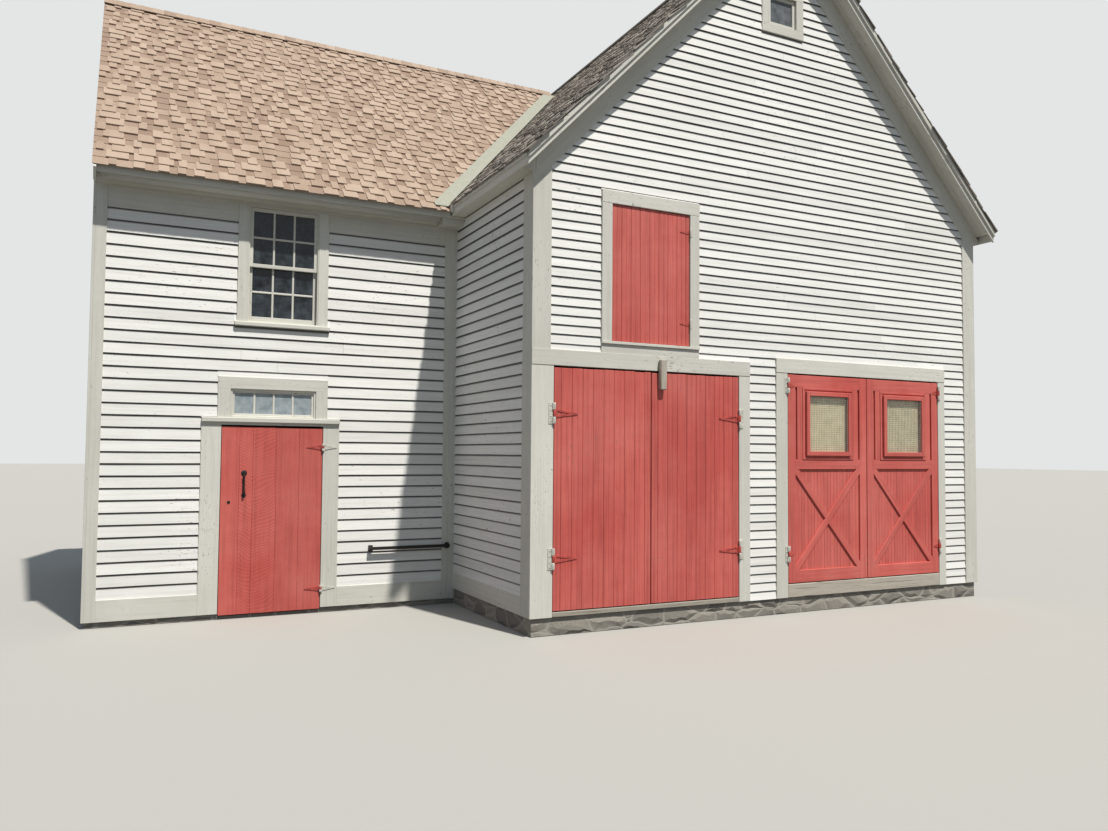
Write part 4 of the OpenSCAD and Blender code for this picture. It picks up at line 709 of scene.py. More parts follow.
def clad(wall, name, limits, foot, top, exposure, blocks, seed, tree, look):
    """Lays clapboards on a wall between its trims, with butt joints that never line up."""
    # Half a butt joint, how far a board goes in behind the trim, and the longest and shortest board
    joint, end_in, longest, shortest = 0.0008, 0.006, 2.6, 0.35
    chance = random.Random(seed)
    points, feet, lids, tones = [], [], [], []
    count = round((top - foot) / exposure)
    step = (top - foot) / count
    for row in range(count):
        low = foot + row * step
        left, right = limits(low)
        for a, b, clear_foot, clear_lid in free_runs(left, right, low, low + step, blocks):
            joints = [a - end_in]
            while b - joints[-1] > longest:
                joints.append(joints[-1] + chance.uniform(1.2, 3.4 if len(joints) > 1 else 2.9))
                if b - joints[-1] < shortest:
                    joints.pop()
                    break
            joints.append(b + end_in)
            for u0, u1 in zip(joints, joints[1:]):
                slip = chance.uniform(-0.0012, 0.0012)
                tilt = chance.uniform(-0.001, 0.001)
                points += [wall.at(u0 + joint, low + slip), wall.at(u1 - joint, low + slip + tilt)]
                feet += [clear_foot - (0.003 if clear_foot == low else 0)] * 2
                lids += [clear_lid] * 2
                tones += [chance.random()] * 2
    edges = [(i, i + 1) for i in range(0, len(points), 2)]
    guide = point_mesh(name, points, edges, foot=feet, lid=lids, tone=tones)
    return grow(tree, name + "_clapboards", guide, "clapboard", Butt=look.butt, Height=step + LAP, Wave=look.wave)


def under_rake(half, ease=0.02):
    """Limits of a gable's courses: inside the corner boards, then inside the frieze boards."""
    def limits(z):
        reach = (BARN_SEAT - FRIEZE_DROP - z) / BARN_SLOPE + ease
        return -min(half, max(reach, 0.02)), min(half, max(reach, 0.02))
    return limits


class SidingLook(bpy.types.PropertyGroup):
    """Sizes and colours of the clapboards and the trim."""
    gable_exposure: FloatProperty(name="Gable exposure", description="Height of clapboard that shows on the gables",
                                  default=0.0965, unit="LENGTH")
    side_exposure: FloatProperty(name="Side exposure", description="Height that shows on the side walls",
                                 default=0.118, unit="LENGTH")
    wing_exposure: FloatProperty(name="Wing exposure", description="Height that shows on the wing",
                                 default=0.124, unit="LENGTH")
    butt: FloatProperty(name="Butt", description="Thickness of a clapboard at its lower edge",
                        default=0.019, unit="LENGTH")
    wave: FloatProperty(name="Wave", description="How far a clapboard strays from its line",
                        default=0.0013, unit="LENGTH")
    coat: StringProperty(name="Coat", description="Colour of the paint on the clapboards", default="#E3E2DC")
    faded: StringProperty(name="Faded coat", description="Colour where that paint has chalked", default="#EFEEE9")
    trim: StringProperty(name="Trim", description="Colour of the paint on the trim boards", default="#CDCBC0")
    trim_faded: StringProperty(name="Faded trim", description="Colour where the trim has chalked", default="#DCDAD0")
    grime: StringProperty(name="Grime", description="Colour of the dirt in streaks", default="#A6A49A")
    bare: StringProperty(name="Bare wood", description="Colour of the wood where paint has gone", default="#8E877A")


class RoofLook(bpy.types.PropertyGroup):
    """Sizes and colours of the two kinds of roofing."""
    shake_exposure: FloatProperty(name="Shake exposure", description="Length of each shake that shows",
                                  default=0.19, unit="LENGTH")
    shake_width: FloatProperty(name="Shake width", description="Mean width of a shake", default=0.135, unit="LENGTH")
    shake_butt: FloatProperty(name="Shake butt", description="Thickness of a shake at its lower end",
                              default=0.02, unit="LENGTH")
    shingle_exposure: FloatProperty(name="Shingle exposure", description="Height of a course of shingles",
                                    default=0.143, unit="LENGTH")
    shake_light: StringProperty(name="Shake", description="Colour of a dry weathered shake", default="#A29A90")
    shake_dark: StringProperty(name="Shake grain", description="Colour of its grain and checks", default="#35302B")
    shake_moss: StringProperty(name="Shake stain", description="Colour of its damp stains", default="#454137")
    shingle_light: StringProperty(name="Shingle light", description="Palest of the blended granules",
                                  default="#AE9A88")
    shingle_warm: StringProperty(name="Shingle warm", description="Middle tone of the granules", default="#A08B79")
    shingle_dark: StringProperty(name="Shingle dark", description="Darkest of the blended granules",
                                 default="#7E6757")
    flashing: StringProperty(name="Flashing", description="Paint on the valley metal", default="#9A9A8B")


class DoorLook(bpy.types.PropertyGroup):
    """Sizes and colours of the doors."""
    board: FloatProperty(name="Board", description="Width of a board in the left pair", default=0.122, unit="LENGTH")
    groove: FloatProperty(name="Groove", description="Depth of the groove between boards",
                          default=0.005, unit="LENGTH")
    red: StringProperty(name="Door red", description="Paint on the doors", default="#C0534A")
    red_faded: StringProperty(name="Faded red", description="Colour where that paint has chalked", default="#D9776C")
    red_deep: StringProperty(name="Deep red", description="Colour of grain and dirt in the red", default="#6E2420")
    red_bare: StringProperty(name="Worn red", description="Colour where the red has gone", default="#8C6A5C")


class StageLook(bpy.types.PropertyGroup):
    """Light and surroundings."""
    sun: FloatProperty(name="Sun", description="Strength of the sun", default=4.75, min=0)
    sky: FloatProperty(name="Sky", description="Strength of the light from all round", default=0.42, min=0)
    floor: StringProperty(name="Floor", description="Colour of the floor", default="#A9A7A1")
    turf: StringProperty(name="Turf", description="Colour of the light that the floor gives back to the walls",
                         default="#615F59")
    backdrop: StringProperty(name="Backdrop", description="Colour behind the barn", default="#E4E6E6")


class BARN_OT_finishes(bpy.types.Operator):
    """Mixes every finish of the barn"""
    bl_idname = "barn.finishes"
    bl_label = "Finishes"

    def execute(self, context):
        siding, roof, door = context.scene.barn_siding, context.scene.barn_roof, context.scene.barn_door
        red = (door.red, door.red_faded, door.red_deep, door.red_bare)
        FINISHES.update(
            # Oil paint gone chalky: near white in the sun, with grey streaks and few bare spots, and painted shade
            # under each lap
            clapboard=painted_wood("weathered_clapboard_paint", siding.coat, siding.faded, siding.grime, siding.bare,
                                   flakes=0.2, grime_share=0.28, paint_lap_shade=True),
            # The same paint a shade darker on planed boards, cracked at the edges
            trim=painted_wood("weathered_trim_paint", siding.trim, siding.trim_faded, siding.grime, siding.bare,
                              flakes=0.26),
            # Iron oxide red, chalky, so that the sun turns it salmon, and the same paint on rough-sawn boards
            red=painted_wood("faded_barn_red_paint", *red, flakes=0.12, grime_share=0.4, rough=0.7),
            sawn_red=painted_wood("red_paint_on_sawn_boards", *red, flakes=0.12, rough=0.75, sawn=True),
            # Sawn timber left bare: grey outside, brown inside
            timber=bare_timber("silvered_timber", "#B3AC9E", "#5A5248", "#7A7768", contrast=0.45),
            sheathing=bare_timber("rough_pine_sheathing", "#8F7A5E", "#4A3B2B", "#5E5442", moss_share=0.1),
            planks=bare_timber("worn_floor_planks", "#8A7A66", "#473C30", "#5B5244", moss_share=0.15),
            stone=field_stone("field_stone_in_lime", "#9C968A", "#76716A", "#A39E93"),
            # Split cedar, weathered dark grey-brown, each shake its own shade
            shake=bare_timber("weathered_cedar_shakes", roof.shake_light, roof.shake_dark, roof.shake_moss,
                              contrast=0.6, moss_share=0.45, board_spread=0.5),
            shingle=granule_shingles("tan_granule_shingles", roof.shingle_light, roof.shingle_warm, roof.shingle_dark),
            # House paint brushed on sheet metal and on the hinges' iron
            flashing=brushed_metal("painted_sheet_metal", roof.flashing, "#8C8C7C", "#76705F", 0.03, rough=0.55),
            iron_trim=brushed_metal("trim_painted_iron", siding.trim, siding.grime, "#7A5A44", 0.06),
            iron_red=brushed_metal("red_painted_iron", door.red, door.red_deep, "#6E3A2A", 0.05),
            # Wrought iron blackened by weather, dull with some rust
            iron_black=brushed_metal("blackened_iron", "#2B2926", "#1C1B1A", "#5C3D2C", 0.08, rough=0.55, metal=0.6),
            zinc=brushed_metal("dull_galvanised_wire", "#B4B1A6", "#8C897E", "#7A6A58", 0.05, rough=0.6, metal=0.2),
            # Glass painted near black for the shade of the dark room behind it, glass painted pale for a reflection of
            # the sky, and glass that years of dust have dulled
            glass=old_glass("old_drawn_glass", "#080A0E", "#59636C", 0.55, 0.3),
            sky_glass=old_glass("sky_lit_glass", "#7B868B", "#B2BABD", 0.9, 0.3),
            dusty_glass=old_glass("dusty_glass", "#4B5053", "#84878A", 0.8, 0.2, rough=0.3),
            pane=old_glass("yellowed_pane", "#DDD5B3", "#9E8C68", 0.5, 0.3, rough=0.4))
        return {"FINISHED"}


class BARN_OT_siding(bpy.types.Operator):
    """Clapboards on every outside wall"""
    bl_idname = "barn.siding"
    bl_label = "Clapboards"

    def execute(self, context):
        look = context.scene.barn_siding
        tree = clapboard_tree()
        # Openings of the gable, the jamb boards beside them and the beam over the left pair
        left_pair, right_pair = (LEFT + 0.215, LEFT + 2.505), (LEFT + 3.195, LEFT + 5.635)
        left_jamb, near_jamb, far_jamb = 0.15, 0.165, 0.12
        beam_top = 2.823
        headers, casing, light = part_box("door_headers"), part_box("loft_door_casing"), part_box("gable_windows")
        pane = (light[0].x, light[1].x, light[0].z, light[1].z)
        gable_blocks = [
            (LEFT - TRIM, left_pair[1] + left_jamb, 0, beam_top),
            (right_pair[0] - near_jamb, right_pair[1] + far_jamb, 0, headers[1].z),
            (casing[0].x, casing[1].x, beam_top, casing[1].z),
            pane]
        gable_limits = under_rake(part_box("corner_boards")[1].x - TRIM - 0.18)
        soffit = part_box("barn_eaves")[0].z
        # The wing's eaves run on to the main block's wall
        eave_out, eave_foot = WING_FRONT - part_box("wing_eaves")[0].y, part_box("wing_wall_right")[1].z + 2.49
        eave = (eave_foot, soffit + 0.1)
        wing_skirt, frieze = WING_BASE + 0.22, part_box("wing_eaves")[0].z
        transom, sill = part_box("transom_frame"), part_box("sash_windows")
        sill_z, reach = sill[0].z, SASH_W / 2 + SASH_CASING
        near, far = LEFT - 0.16, WING_LEFT + 0.105
        wing_blocks = [
            (transom[0].x, transom[1].x, 0, TRANSOM_FOOT),
            (TRANSOM_LEFT - TRANSOM_CASING, TRANSOM_RIGHT + TRANSOM_CASING, TRANSOM_FOOT, transom[1].z),
            (WINDOW_MIDDLE - reach, WINDOW_MIDDLE + reach, sill_z + 0.02, frieze + 0.2),
            (sill[0].x, sill[1].x, sill_z, sill_z + SILL)]
        rear_blocks = [
            (-WINDOW_MIDDLE - reach, -WINDOW_MIDDLE + reach, sill_z + SILL, frieze + 0.2),
            (-sill[1].x, -sill[0].x, sill_z, sill_z + SILL)]

        def wing_limits(z):
            half = min((WING_BACK - WING_FRONT) / 2 - 0.1, WING_SEAT - z - 0.05)
            return -WING_MIDDLE - half, -WING_MIDDLE + half
        walls = (
            (GABLE, "gable", gable_limits, BASE_TOP, GABLE_TOP, look.gable_exposure, gable_blocks),
            (BACK_GABLE, "back_gable", gable_limits, SKIRT, GABLE_TOP, look.gable_exposure, [pane]),
            (LEFT_SIDE, "left_side", lambda z: (-WING_FRONT + TRIM, -FRONT - 0.2), SKIRT, soffit,
             look.side_exposure, [(-WING_FRONT, -WING_FRONT + eave_out, *eave)]),
            (LEFT_SIDE, "left_rear", lambda z: (-BACK + 0.2, -WING_BACK - TRIM), SKIRT, soffit,
             look.side_exposure, [(-WING_BACK - eave_out, -WING_BACK, *eave)]),
            (RIGHT_SIDE, "right_side", lambda z: (FRONT + 0.2, BACK - 0.2), SKIRT, soffit, look.side_exposure, []),
            (WING_FACE, "wing", lambda z: (far, near), wing_skirt, frieze, look.wing_exposure, wing_blocks),
            (WING_REAR, "wing_rear", lambda z: (-near, -far), wing_skirt, frieze, look.wing_exposure, rear_blocks),
            (WING_END, "wing_end", wing_limits, WING_BASE, WING_END_TOP, look.wing_exposure, []))
        for seed, row in enumerate(walls, 11):
            clad(*row, seed, tree, look)
        for node in ("gable_piers", "gable_wall_upper", "back_gable_wall", "barn_left_wall", "barn_right_wall",
                     "wing_wall_left", "wing_wall_right", "wing_wall_upper", "wing_back_wall", "wing_party_wall"):
            softened(node, node + "_sheathing", "sheathing", ease=0, slot="clapboard_paint")
        return {"FINISHED"}


class BARN_OT_trim(bpy.types.Operator):
    """Corner boards, friezes, eaves, skirts, headers and casings"""
    bl_idname = "barn.trim"
    bl_label = "Trim boards"

    def execute(self, context):
        for seed, node in enumerate(("rake_boards_left", "rake_boards_right", "corner_boards", "skirt_boards",
                                     "door_headers", "door_jambs", "wing_eaves")):
            piece = softened(node, node + "_painted", "trim", seed=seed)
            if node == "door_headers":
                # Beam and header stand a little proud of the jambs
                for vert in piece.data.vertices:
                    vert.co.y -= 0.005 if vert.co.y < FRONT - TRIM + 0.006 else 0.0
        self.loft_casing()
        self.wing_end()
        softened("thresholds", "thresholds_worn", "timber", ease=0.006)
        self.barn_eaves()
        for node in ("barn_floor", "barn_loft_floor", "barn_posts", "wing_floor", "wing_upper_floor"):
            softened(node, node + "_sawn", "planks", ease=0)
        softened("foundation", "stone_base", "stone", ease=0.004)
        softened("wall_bar", "wall_bar_rusty", "iron_black", ease=0.003)
        return {"FINISHED"}

    def wing_end(self):
        """A rake board follows each slope of the wing's end, and a board closes each boxed eave."""
        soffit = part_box("wing_eaves")[0].z + 0.28
        half = (WING_BACK - WING_FRONT) / 2
        wide, over, eave, roll = 0.156, WING_DECK - 0.004, 0.26, 0.195
        drop = WING_SEAT - half - soffit
        boards = Boards(43)
        for side in (-1, 1):
            down = Vector((0, side, -1)).normalized()
            across = down.cross(ACROSS)
            gone = wide if side > 0 else 0.0
            ridge = Vector((WING_LEFT, WING_MIDDLE, WING_SEAT + over / math.cos(WING_PITCH)))
            start = ridge + down * gone - (across * wide if side < 0 else Vector())
            boards.board(start, down, across, WING_EDGE / math.cos(WING_PITCH) + over - gone, wide, 0.026, 0.003)
            corners = [(WING_MIDDLE + side * (half + a), WING_SEAT - half - b)
                       for a, b in ((0, 0), (eave, eave), (eave, drop), (0, drop))]
            boards.cut((WING_LEFT - 0.02, 0, 0), ACROSS, INWARDS, corners, 0.02, 0.002)
            edges = sorted(-WING_MIDDLE + side * at for at in (half - 0.105, half + TRIM))
            boards.on(WING_END, edges, (WING_BASE, soffit + 0.19), (0, 0.0245), True, 0.003)
            # A roll runs along under the boxed eave, up to the square block in the inner corner
            y = WING_MIDDLE + side * (half + roll)
            boards.turned((WING_LEFT, y, soffit), ACROSS, [(0, 0.05), (LEFT - 0.3 - WING_LEFT, 0.05)], 12)
            low, high = sorted((y + side * 0.045, WING_MIDDLE + side * (half + 0.02)))
            boards.block((LEFT - 0.27, low, soffit - 0.075), (LEFT - 0.001, high, soffit + 0.003), "x", 0.004)
        boards.done("wing_rake_painted", "trim")

    def loft_casing(self):
        """Casing boards of the loft door, its sill and the board under it."""
        low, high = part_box("loft_door_casing")
        foot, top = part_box("loft_door")
        casing = Boards(42)
        for a, b in ((low.x, foot.x), (top.x, high.x)):
            casing.on(GABLE, (a, b), (foot.z, top.z - 0.002), (0, 0.036), True, 0.003)
        for a, b, out in ((top.z, high.z, 0.038), (foot.z - 0.03, foot.z - 0.002, 0.046),
                          (low.z, foot.z - 0.031, TRIM)):
            casing.on(GABLE, (low.x, high.x), (a, b), (0, out), False, 0.003)
        casing.done("loft_casing_painted", "trim", nodes=("loft_door_casing",))

    def barn_eaves(self):
        """Fascia, its edge strip and the soffit board of each main eave, and what closes the box at its ends."""
        low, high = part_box("barn_eaves")
        edge = high.x - EDGE_BOARD
        top = BARN_SEAT - high.x * BARN_SLOPE + BARN_DECK / math.cos(BARN_PITCH)
        eaves = Boards(41)
        for side, start, end in ((-1, low.y, WING_FRONT), (-1, WING_BACK, high.y), (1, low.y, high.y)):
            for a, b, foot, lid in ((edge, high.x, low.z, top), (high.x - 0.001, high.x + 0.012, top - 0.047, top)):
                x0, x1 = sorted((side * a, side * b))
                eaves.block((x0, start, foot), (x1, end, lid), "y", 0.003)
            x0, x1 = sorted((side * RIGHT, side * (edge + 0.001)))
            eaves.block((x0, max(start, FRONT), low.z), (x1, min(end, BACK), low.z + EDGE_BOARD), "y", 0.002)
        # At both gables a board closes the box between fascia, soffit and roof
        near, far = RIGHT - 0.03, edge + 0.001
        corners = ((near, low.z), (far, low.z), (far, BARN_SEAT - far * BARN_SLOPE),
                   (near, BARN_SEAT - near * BARN_SLOPE))
        for side in (-1, 1):
            for y in (FRONT - 0.024, BACK + 0.004):
                eaves.cut((0, y, 0), INWARDS, ACROSS, [(side * x, -z) for x, z in corners], 0.02, 0.001)
        # A squared block ends the strip where the valley starts
        eaves.block((-high.x - 0.03, WING_FRONT - 0.36, top - 0.085), (-high.x + 0.01, WING_FRONT - 0.27, top - 0.002),
                    "y", 0.004)
        eaves.done("barn_eaves_painted", "trim", nodes=("barn_eaves",))


def tilted(down, out, tilt):
    """Axes of a shake or shingle, across, up and out, that lies a little flatter than the roof."""
    up = -down * math.cos(tilt) - out * math.sin(tilt)
    face = out * math.cos(tilt) - down * math.sin(tilt)
    return up.cross(face), up, face


def wing_roof_z(y):
    """Height of the top of the wing's shingles at a given y."""
    return WING_TOP - abs(y - WING_MIDDLE)


class BARN_OT_shakes(bpy.types.Operator):
    """Deck, shakes and ridge boards of the main roof"""
    bl_idname = "barn.shakes"
    bl_label = "Shakes"

    def execute(self, context):
        look = context.scene.barn_roof
        tree = scatter_tree()
        # One shake, split along its length: x across, y up the slope, z out of it, from 0 to 1
        columns = (0.0, 0.22, 0.41, 0.6, 0.83, 1.0)
        ridge = (0.72, 1.0, 0.78, 0.96, 0.66, 0.88)
        ragged = (0.03, 0.0, 0.035, -0.01, 0.02, 0.045)
        thin = 0.22
        verts = [(x - 0.5, e, 0.0) for x, e in zip(columns, ragged)]
        verts += [(x - 0.5, e, r) for x, e, r in zip(columns, ragged, ridge)]
        verts += [(x - 0.5, 1.0, r * thin) for x, r in zip(columns, ridge)]
        verts += [(x - 0.5, 1.0, 0.0) for x in columns]
        n = len(columns)
        faces = []
        for i in range(n - 1):
            faces += [(k * n + i, k * n + i + 1, (k + 1) * n + i + 1, (k + 1) * n + i) for k in range(3)]
            faces.append((3 * n + i, 3 * n + i + 1, i + 1, i))
        faces += [(0, n, 2 * n, 3 * n), (4 * n - 1, 3 * n - 1, 2 * n - 1, n - 1)]
        shake = template("shake_template", verts, faces, (1, 0, 2))
        chance = random.Random(21)
        deck_top = BARN_TOP - SHAKE_COVER / math.cos(BARN_PITCH)
        for side, name in ((-1, "left"), (1, "right")):
            down = Vector((side * math.cos(BARN_PITCH), 0, -math.sin(BARN_PITCH)))
            out = Vector((side * math.sin(BARN_PITCH), 0, math.cos(BARN_PITCH)))
            length = BARN_EDGE / math.cos(BARN_PITCH)
            shake_l, starter_l, lift = 0.34, 0.2, 0.0105
            spots = Spots(22 + side)
            for row in range(math.ceil(length / look.shake_exposure) + 1):
                # The first row is the short one under the second, flush with the eave
                at = length - max(row - 1, 0) * look.shake_exposure - (0 if row else 0.004)
                long = shake_l if row else starter_l
                if at < 0.06:
                    break
                y = -BARN_RAKE + chance.uniform(-0.014, 0.012)
                end = BARN_RAKE + chance.uniform(-0.012, 0.014)
                while y < end - 0.03:
                    width = min(look.shake_width * chance.uniform(0.5, 1.5), end - y)
                    middle = y + width / 2
                    back = chance.uniform(-0.03, 0.02) if row > 1 else chance.uniform(-0.012, 0.012) * row
                    foot = Vector((0, middle, deck_top)) + down * (at + back)
                    hidden = side < 0 and foot.z < wing_roof_z(middle) - 0.32
                    if not hidden and width > 0.03:
                        thick = look.shake_butt * chance.uniform(0.7, 1.35)
                        tilt = math.atan2(chance.uniform(0.006, 0.019) if row else 0.001, long)
                        spots.put(foot + out * (lift if row else 0.0), tilted(down, out, tilt),
                                  (width - 0.005, min(long, at), thick))
                    y += width
            grow(tree, "shakes_" + name, spots.guide("shake_guide"), "shake",
                 Template=shake, Slip=0.0015, Twist=0.022, Rough=0.008)
            deck = Boards(24 + side)
            reach = (BARN_EDGE - 0.04) / math.cos(BARN_PITCH)
            rows = 20
            for i in range(rows):
                start = Vector((0, side * BACK, deck_top)) + down * (i * reach / rows) - out * BARN_DECK
                deck.board(start, INWARDS * -side, down, BACK - FRONT, reach / rows, BARN_DECK, ease=0.001)
            deck.done("barn_roof_deck_" + name, "sheathing", nodes=("barn_roof_" + name,), slot="wooden_shakes")
            # Past the gables the underside is closed with two painted boards
            soffits = Boards(27 + side)
            for y in (FRONT - 0.15, FRONT - 0.0502, BACK + 0.0502, BACK + 0.15):
                start = Vector((0, y - side * 0.0497, deck_top)) + down * 0.001 - out * BARN_DECK
                soffits.board(start, down, INWARDS * side, reach - 0.001, 0.0994, BARN_DECK, ease=0.003)
            soffits.done("rake_soffits_" + name, "trim")
        bpy.data.objects.remove(shake)
        softened("ridge_caps", "ridge_boards", "shake", only=lambda centre: centre.x > LEFT)
        return {"FINISHED"}


class BARN_OT_shingles(bpy.types.Operator):
    """Deck, shingles and valley metal of the wing's roof"""
    bl_idname = "barn.shingles"
    bl_label = "Shingles"

    def execute(self, context):
        look = context.scene.barn_roof
        tree = scatter_tree()
        verts = [(x, y, z * (1 - 0.75 * y)) for z in (0, 1) for y in (0, 1) for x in (-0.5, 0.5)]
        faces = [(0, 2, 3, 1), (4, 5, 7, 6), (0, 1, 5, 4), (1, 3, 7, 5), (3, 2, 6, 7), (2, 0, 4, 6)]
        slab = template("shingle_template", verts, faces, (1, 0, 2))
        chance = random.Random(31)
        deck_top = WING_TOP - SHINGLE_COVER / math.cos(WING_PITCH)
        edge, over, long = WING_LEFT - 0.04, 0.024, 0.26
        for side, name in ((-1, "front"), (1, "back")):
            down = Vector((0, side * math.cos(WING_PITCH), -math.sin(WING_PITCH)))
            out = Vector((0, side * math.sin(WING_PITCH), math.cos(WING_PITCH)))
            length = WING_EDGE / math.cos(WING_PITCH)
            axes = tilted(down, out, math.atan2(0.0045, long))
            spots = Spots(32 + side)
            for row in range(math.ceil(length / look.shingle_exposure)):
                at = length + over - row * look.shingle_exposure
                if at < 0.05:
                    break
                foot = Vector((0, WING_MIDDLE, deck_top)) + down * at
                # The first course runs on under the valley metal to the main eave
                end = -(BARN_TOP - foot.z) / BARN_SLOPE - 0.02 if row else -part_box("barn_eaves")[1].x - 0.003
                x = edge
                while x < end - 0.02:
                    width = min(chance.uniform(0.16, 0.42), end - x)
                    spots.put(foot + ACROSS * (x + width / 2) + out * 0.0035 + down * (0 if row else 0.007), axes,
                              (width, min(long, at), 0.0055), (0.6, 0.95))
                    x += width
                # Over each course lie thick tabs of some widths, with gaps of others
                x = edge + chance.uniform(0.0, 0.15)
                while x < end - 0.1:
                    width = min(chance.choice((0.075, 0.11, 0.15, 0.19)) * chance.uniform(0.9, 1.1), end - x)
                    spots.put(foot + ACROSS * (x + width / 2) + out * 0.009 + down * 0.004, axes,
                              (width, look.shingle_exposure + 0.03, 0.014), (0.0, 0.75))
                    x += width + chance.choice((0.05, 0.08, 0.12, 0.16)) * chance.uniform(0.85, 1.15)
            grow(tree, "shingles_" + name, spots.guide("shingle_guide"), "shingle",
                 Template=slab, Slip=0.0, Twist=0.0015, Rough=0.0015)
            node = "wing_roof_" + name
            deck = softened(node, node + "_deck", "sheathing", ease=0, slot="asphalt_shingles")
            for vert in deck.data.vertices:
                if vert.co.z > wing_roof_z(vert.co.y) - 0.004:
                    vert.co.z -= SHINGLE_COVER / math.cos(WING_PITCH)
        # Each ridge cap is a shingle folded over the ridge, and laps the next by a third
        fold = [(-0.105, -0.105), (0.0, 0.0), (0.105, -0.105), (0.1, -0.11), (0.0, -0.01), (-0.1, -0.11)]
        verts = [(x, y, z) for x in (0, 1) for y, z in fold]
        sides = [(6 + i, 6 + (i + 1) % 6, (i + 1) % 6, i) for i in range(6)]
        cap = template("cap_template", verts, sides + [(0, 1, 4, 5), (1, 2, 3, 4), (11, 10, 7, 6), (10, 9, 8, 7)])
        caps, x, cap_l, shown = Spots(35), edge, 0.21, 0.143
        lean = Vector((1, 0, -0.05)).normalized()
        while x < -(BARN_TOP - WING_TOP) / BARN_SLOPE - 0.2:
            caps.put((x, WING_MIDDLE, WING_TOP + 0.016), (lean, INWARDS, lean.cross(INWARDS)),
                     (cap_l, 1.0, 1.0), (0.1, 0.8))
            x += shown
        grow(tree, "ridge_shingles", caps.guide("cap_guide"), "shingle", nodes=("ridge_caps",),
             Template=cap, Slip=0.0, Twist=0.004, Rough=0.002)
        for done in (cap, slab):
            bpy.data.objects.remove(done)
        softened("valley_flashing", "valley_metal", "flashing", ease=0)
        return {"FINISHED"}


# Doors


def plank(boards, x, wide, y, foot, top, thick, groove, bead=0.0):
    """An upright board with grooved edges, its face towards -Y, and maybe a bead down its middle."""
    g = min(groove, wide / 4)
    outline = [(g, 0.0)]
    if bead:
        outline += [(wide / 2 - bead, 0.0), (wide / 2, bead * 0.9), (wide / 2 + bead, 0.0)]
    outline += [(wide - g, 0.0), (wide, g), (wide, thick), (0.0, thick), (0.0, g)]
    boards.sweep((x, y, foot), UP, ACROSS, outline, top - foot, 0.0015)


def strap(boards, root, towards, length, height, tip, thick, window=False):
    """A tapering hinge strap on a leaf's face, from its root; a window leaves only its rim, back bar and cross bar."""
    x, y, z = root
    half = height / 2
    if window:
        rim, spine, shoulder = 0.018, 0.024, 0.008
        bars = [[(0, -half), (spine, -half + spine * 0.18), (spine, half - spine * 0.18), (0, half)]]
        bars += [[(0, flip * half), (length, flip * tip / 2),
                  (length - 0.045, -flip * tip * 0.3), (0, flip * (half - rim))] for flip in (1, -1)]
        bars.append([(length - 0.05, -tip * 0.9), (length - shoulder, -tip * 0.6), (length, 0),
                     (length - shoulder, tip * 0.6), (length - 0.05, tip * 0.9)])
    else:
        bars = [[(0, -half), (length - 0.006, -tip / 2), (length, 0), (length - 0.006, tip / 2), (0, half)]]
    for k, bar in enumerate(bars):
        lift = 0.0004 * k
        boards.cut((0, y - thick - lift, 0), INWARDS, ACROSS, [(x + towards * a, -z - b) for a, b in bar], thick + lift)


def plank_leaf(node, hinge, wall_y, towards, height, widths, groove, bead, strap_size, window, red):
    """A leaf of upright boards on two ledges, with its straps, bolts and knuckles."""
    face, back = wall_y - LEAF_OUT, wall_y - LEAF_OUT + LEAF
    edge, ledge_in, ledge_half = LEAF_EDGE, 0.06, 0.07
    heights, knuckle = HINGES[hinge]
    pin_x, _, foot = PINS[node.replace("_leaf", "") + "_hinge"]
    total = sum(widths)
    leaf = Boards(sum(map(ord, node)))
    at = edge
    for wide in widths:
        low, high = sorted((pin_x + towards * at, pin_x + towards * (at + wide)))
        nudge = leaf.random.uniform(0.0, 0.004)
        plank(leaf, low + 0.0006, wide - 0.0012, face, foot + nudge * 0.5, foot + height - 0.008 - 2 * nudge,
              0.024, groove, bead)
        at += wide
    # A layer of boards behind the first
    count = 8
    for i in range(count):
        low, high = sorted(pin_x + towards * (edge + total * k / count) for k in (i, i + 1))
        leaf.block((low + 0.0008, face + 0.0243, foot + 0.002), (high - 0.0008, back, foot + height - 0.018),
                   "z", 0.0025)
    for z in heights:
        low, high = sorted((pin_x + towards * (edge + ledge_in), pin_x + towards * (edge + total - ledge_in)))
        leaf.block((low, back, foot + z - ledge_half), (high, back + 0.028, foot + z + ledge_half), "x", 0.004)
        at = edge
        for wide in widths:
            for share in (0.28, 0.72):
                for rise in (-0.042, 0.042):
                    nail_z = foot + z + rise + leaf.random.uniform(-0.008, 0.008)
                    leaf.head((pin_x + towards * (at + wide * share), face, nail_z), 0.0036, 0.0014)
            at += wide
    leaf.done(node + "_boards", red, node, (node,))
    hardware = Boards(sum(map(ord, node)) + 1)
    length, tall, tip = strap_size
    for z in heights:
        root = (pin_x + towards * (KNUCKLE_R + 0.004), face, foot + z)
        strap(hardware, root, towards, length - KNUCKLE_R - 0.004, tall, tip, 0.006, window)
        hardware.knuckle((pin_x, wall_y - TRIM - 0.015, foot + z), knuckle, (0.003, KNUCKLE_R + 0.008), towards, face)
        for share, rise in ((0.10, 0.30), (0.10, -0.30), (0.55, 0.0), (0.93, 0.0)):
            # No bolt sits in a window
            if window and share == 0.55:
                continue
            spot = (root[0] + towards * length * share, face - 0.006, foot + z + rise * tall)
            hardware.head(spot, 0.007 if tall > 0.06 else 0.005, 0.004)
    hardware.done(node + "_straps", "iron_red", node)


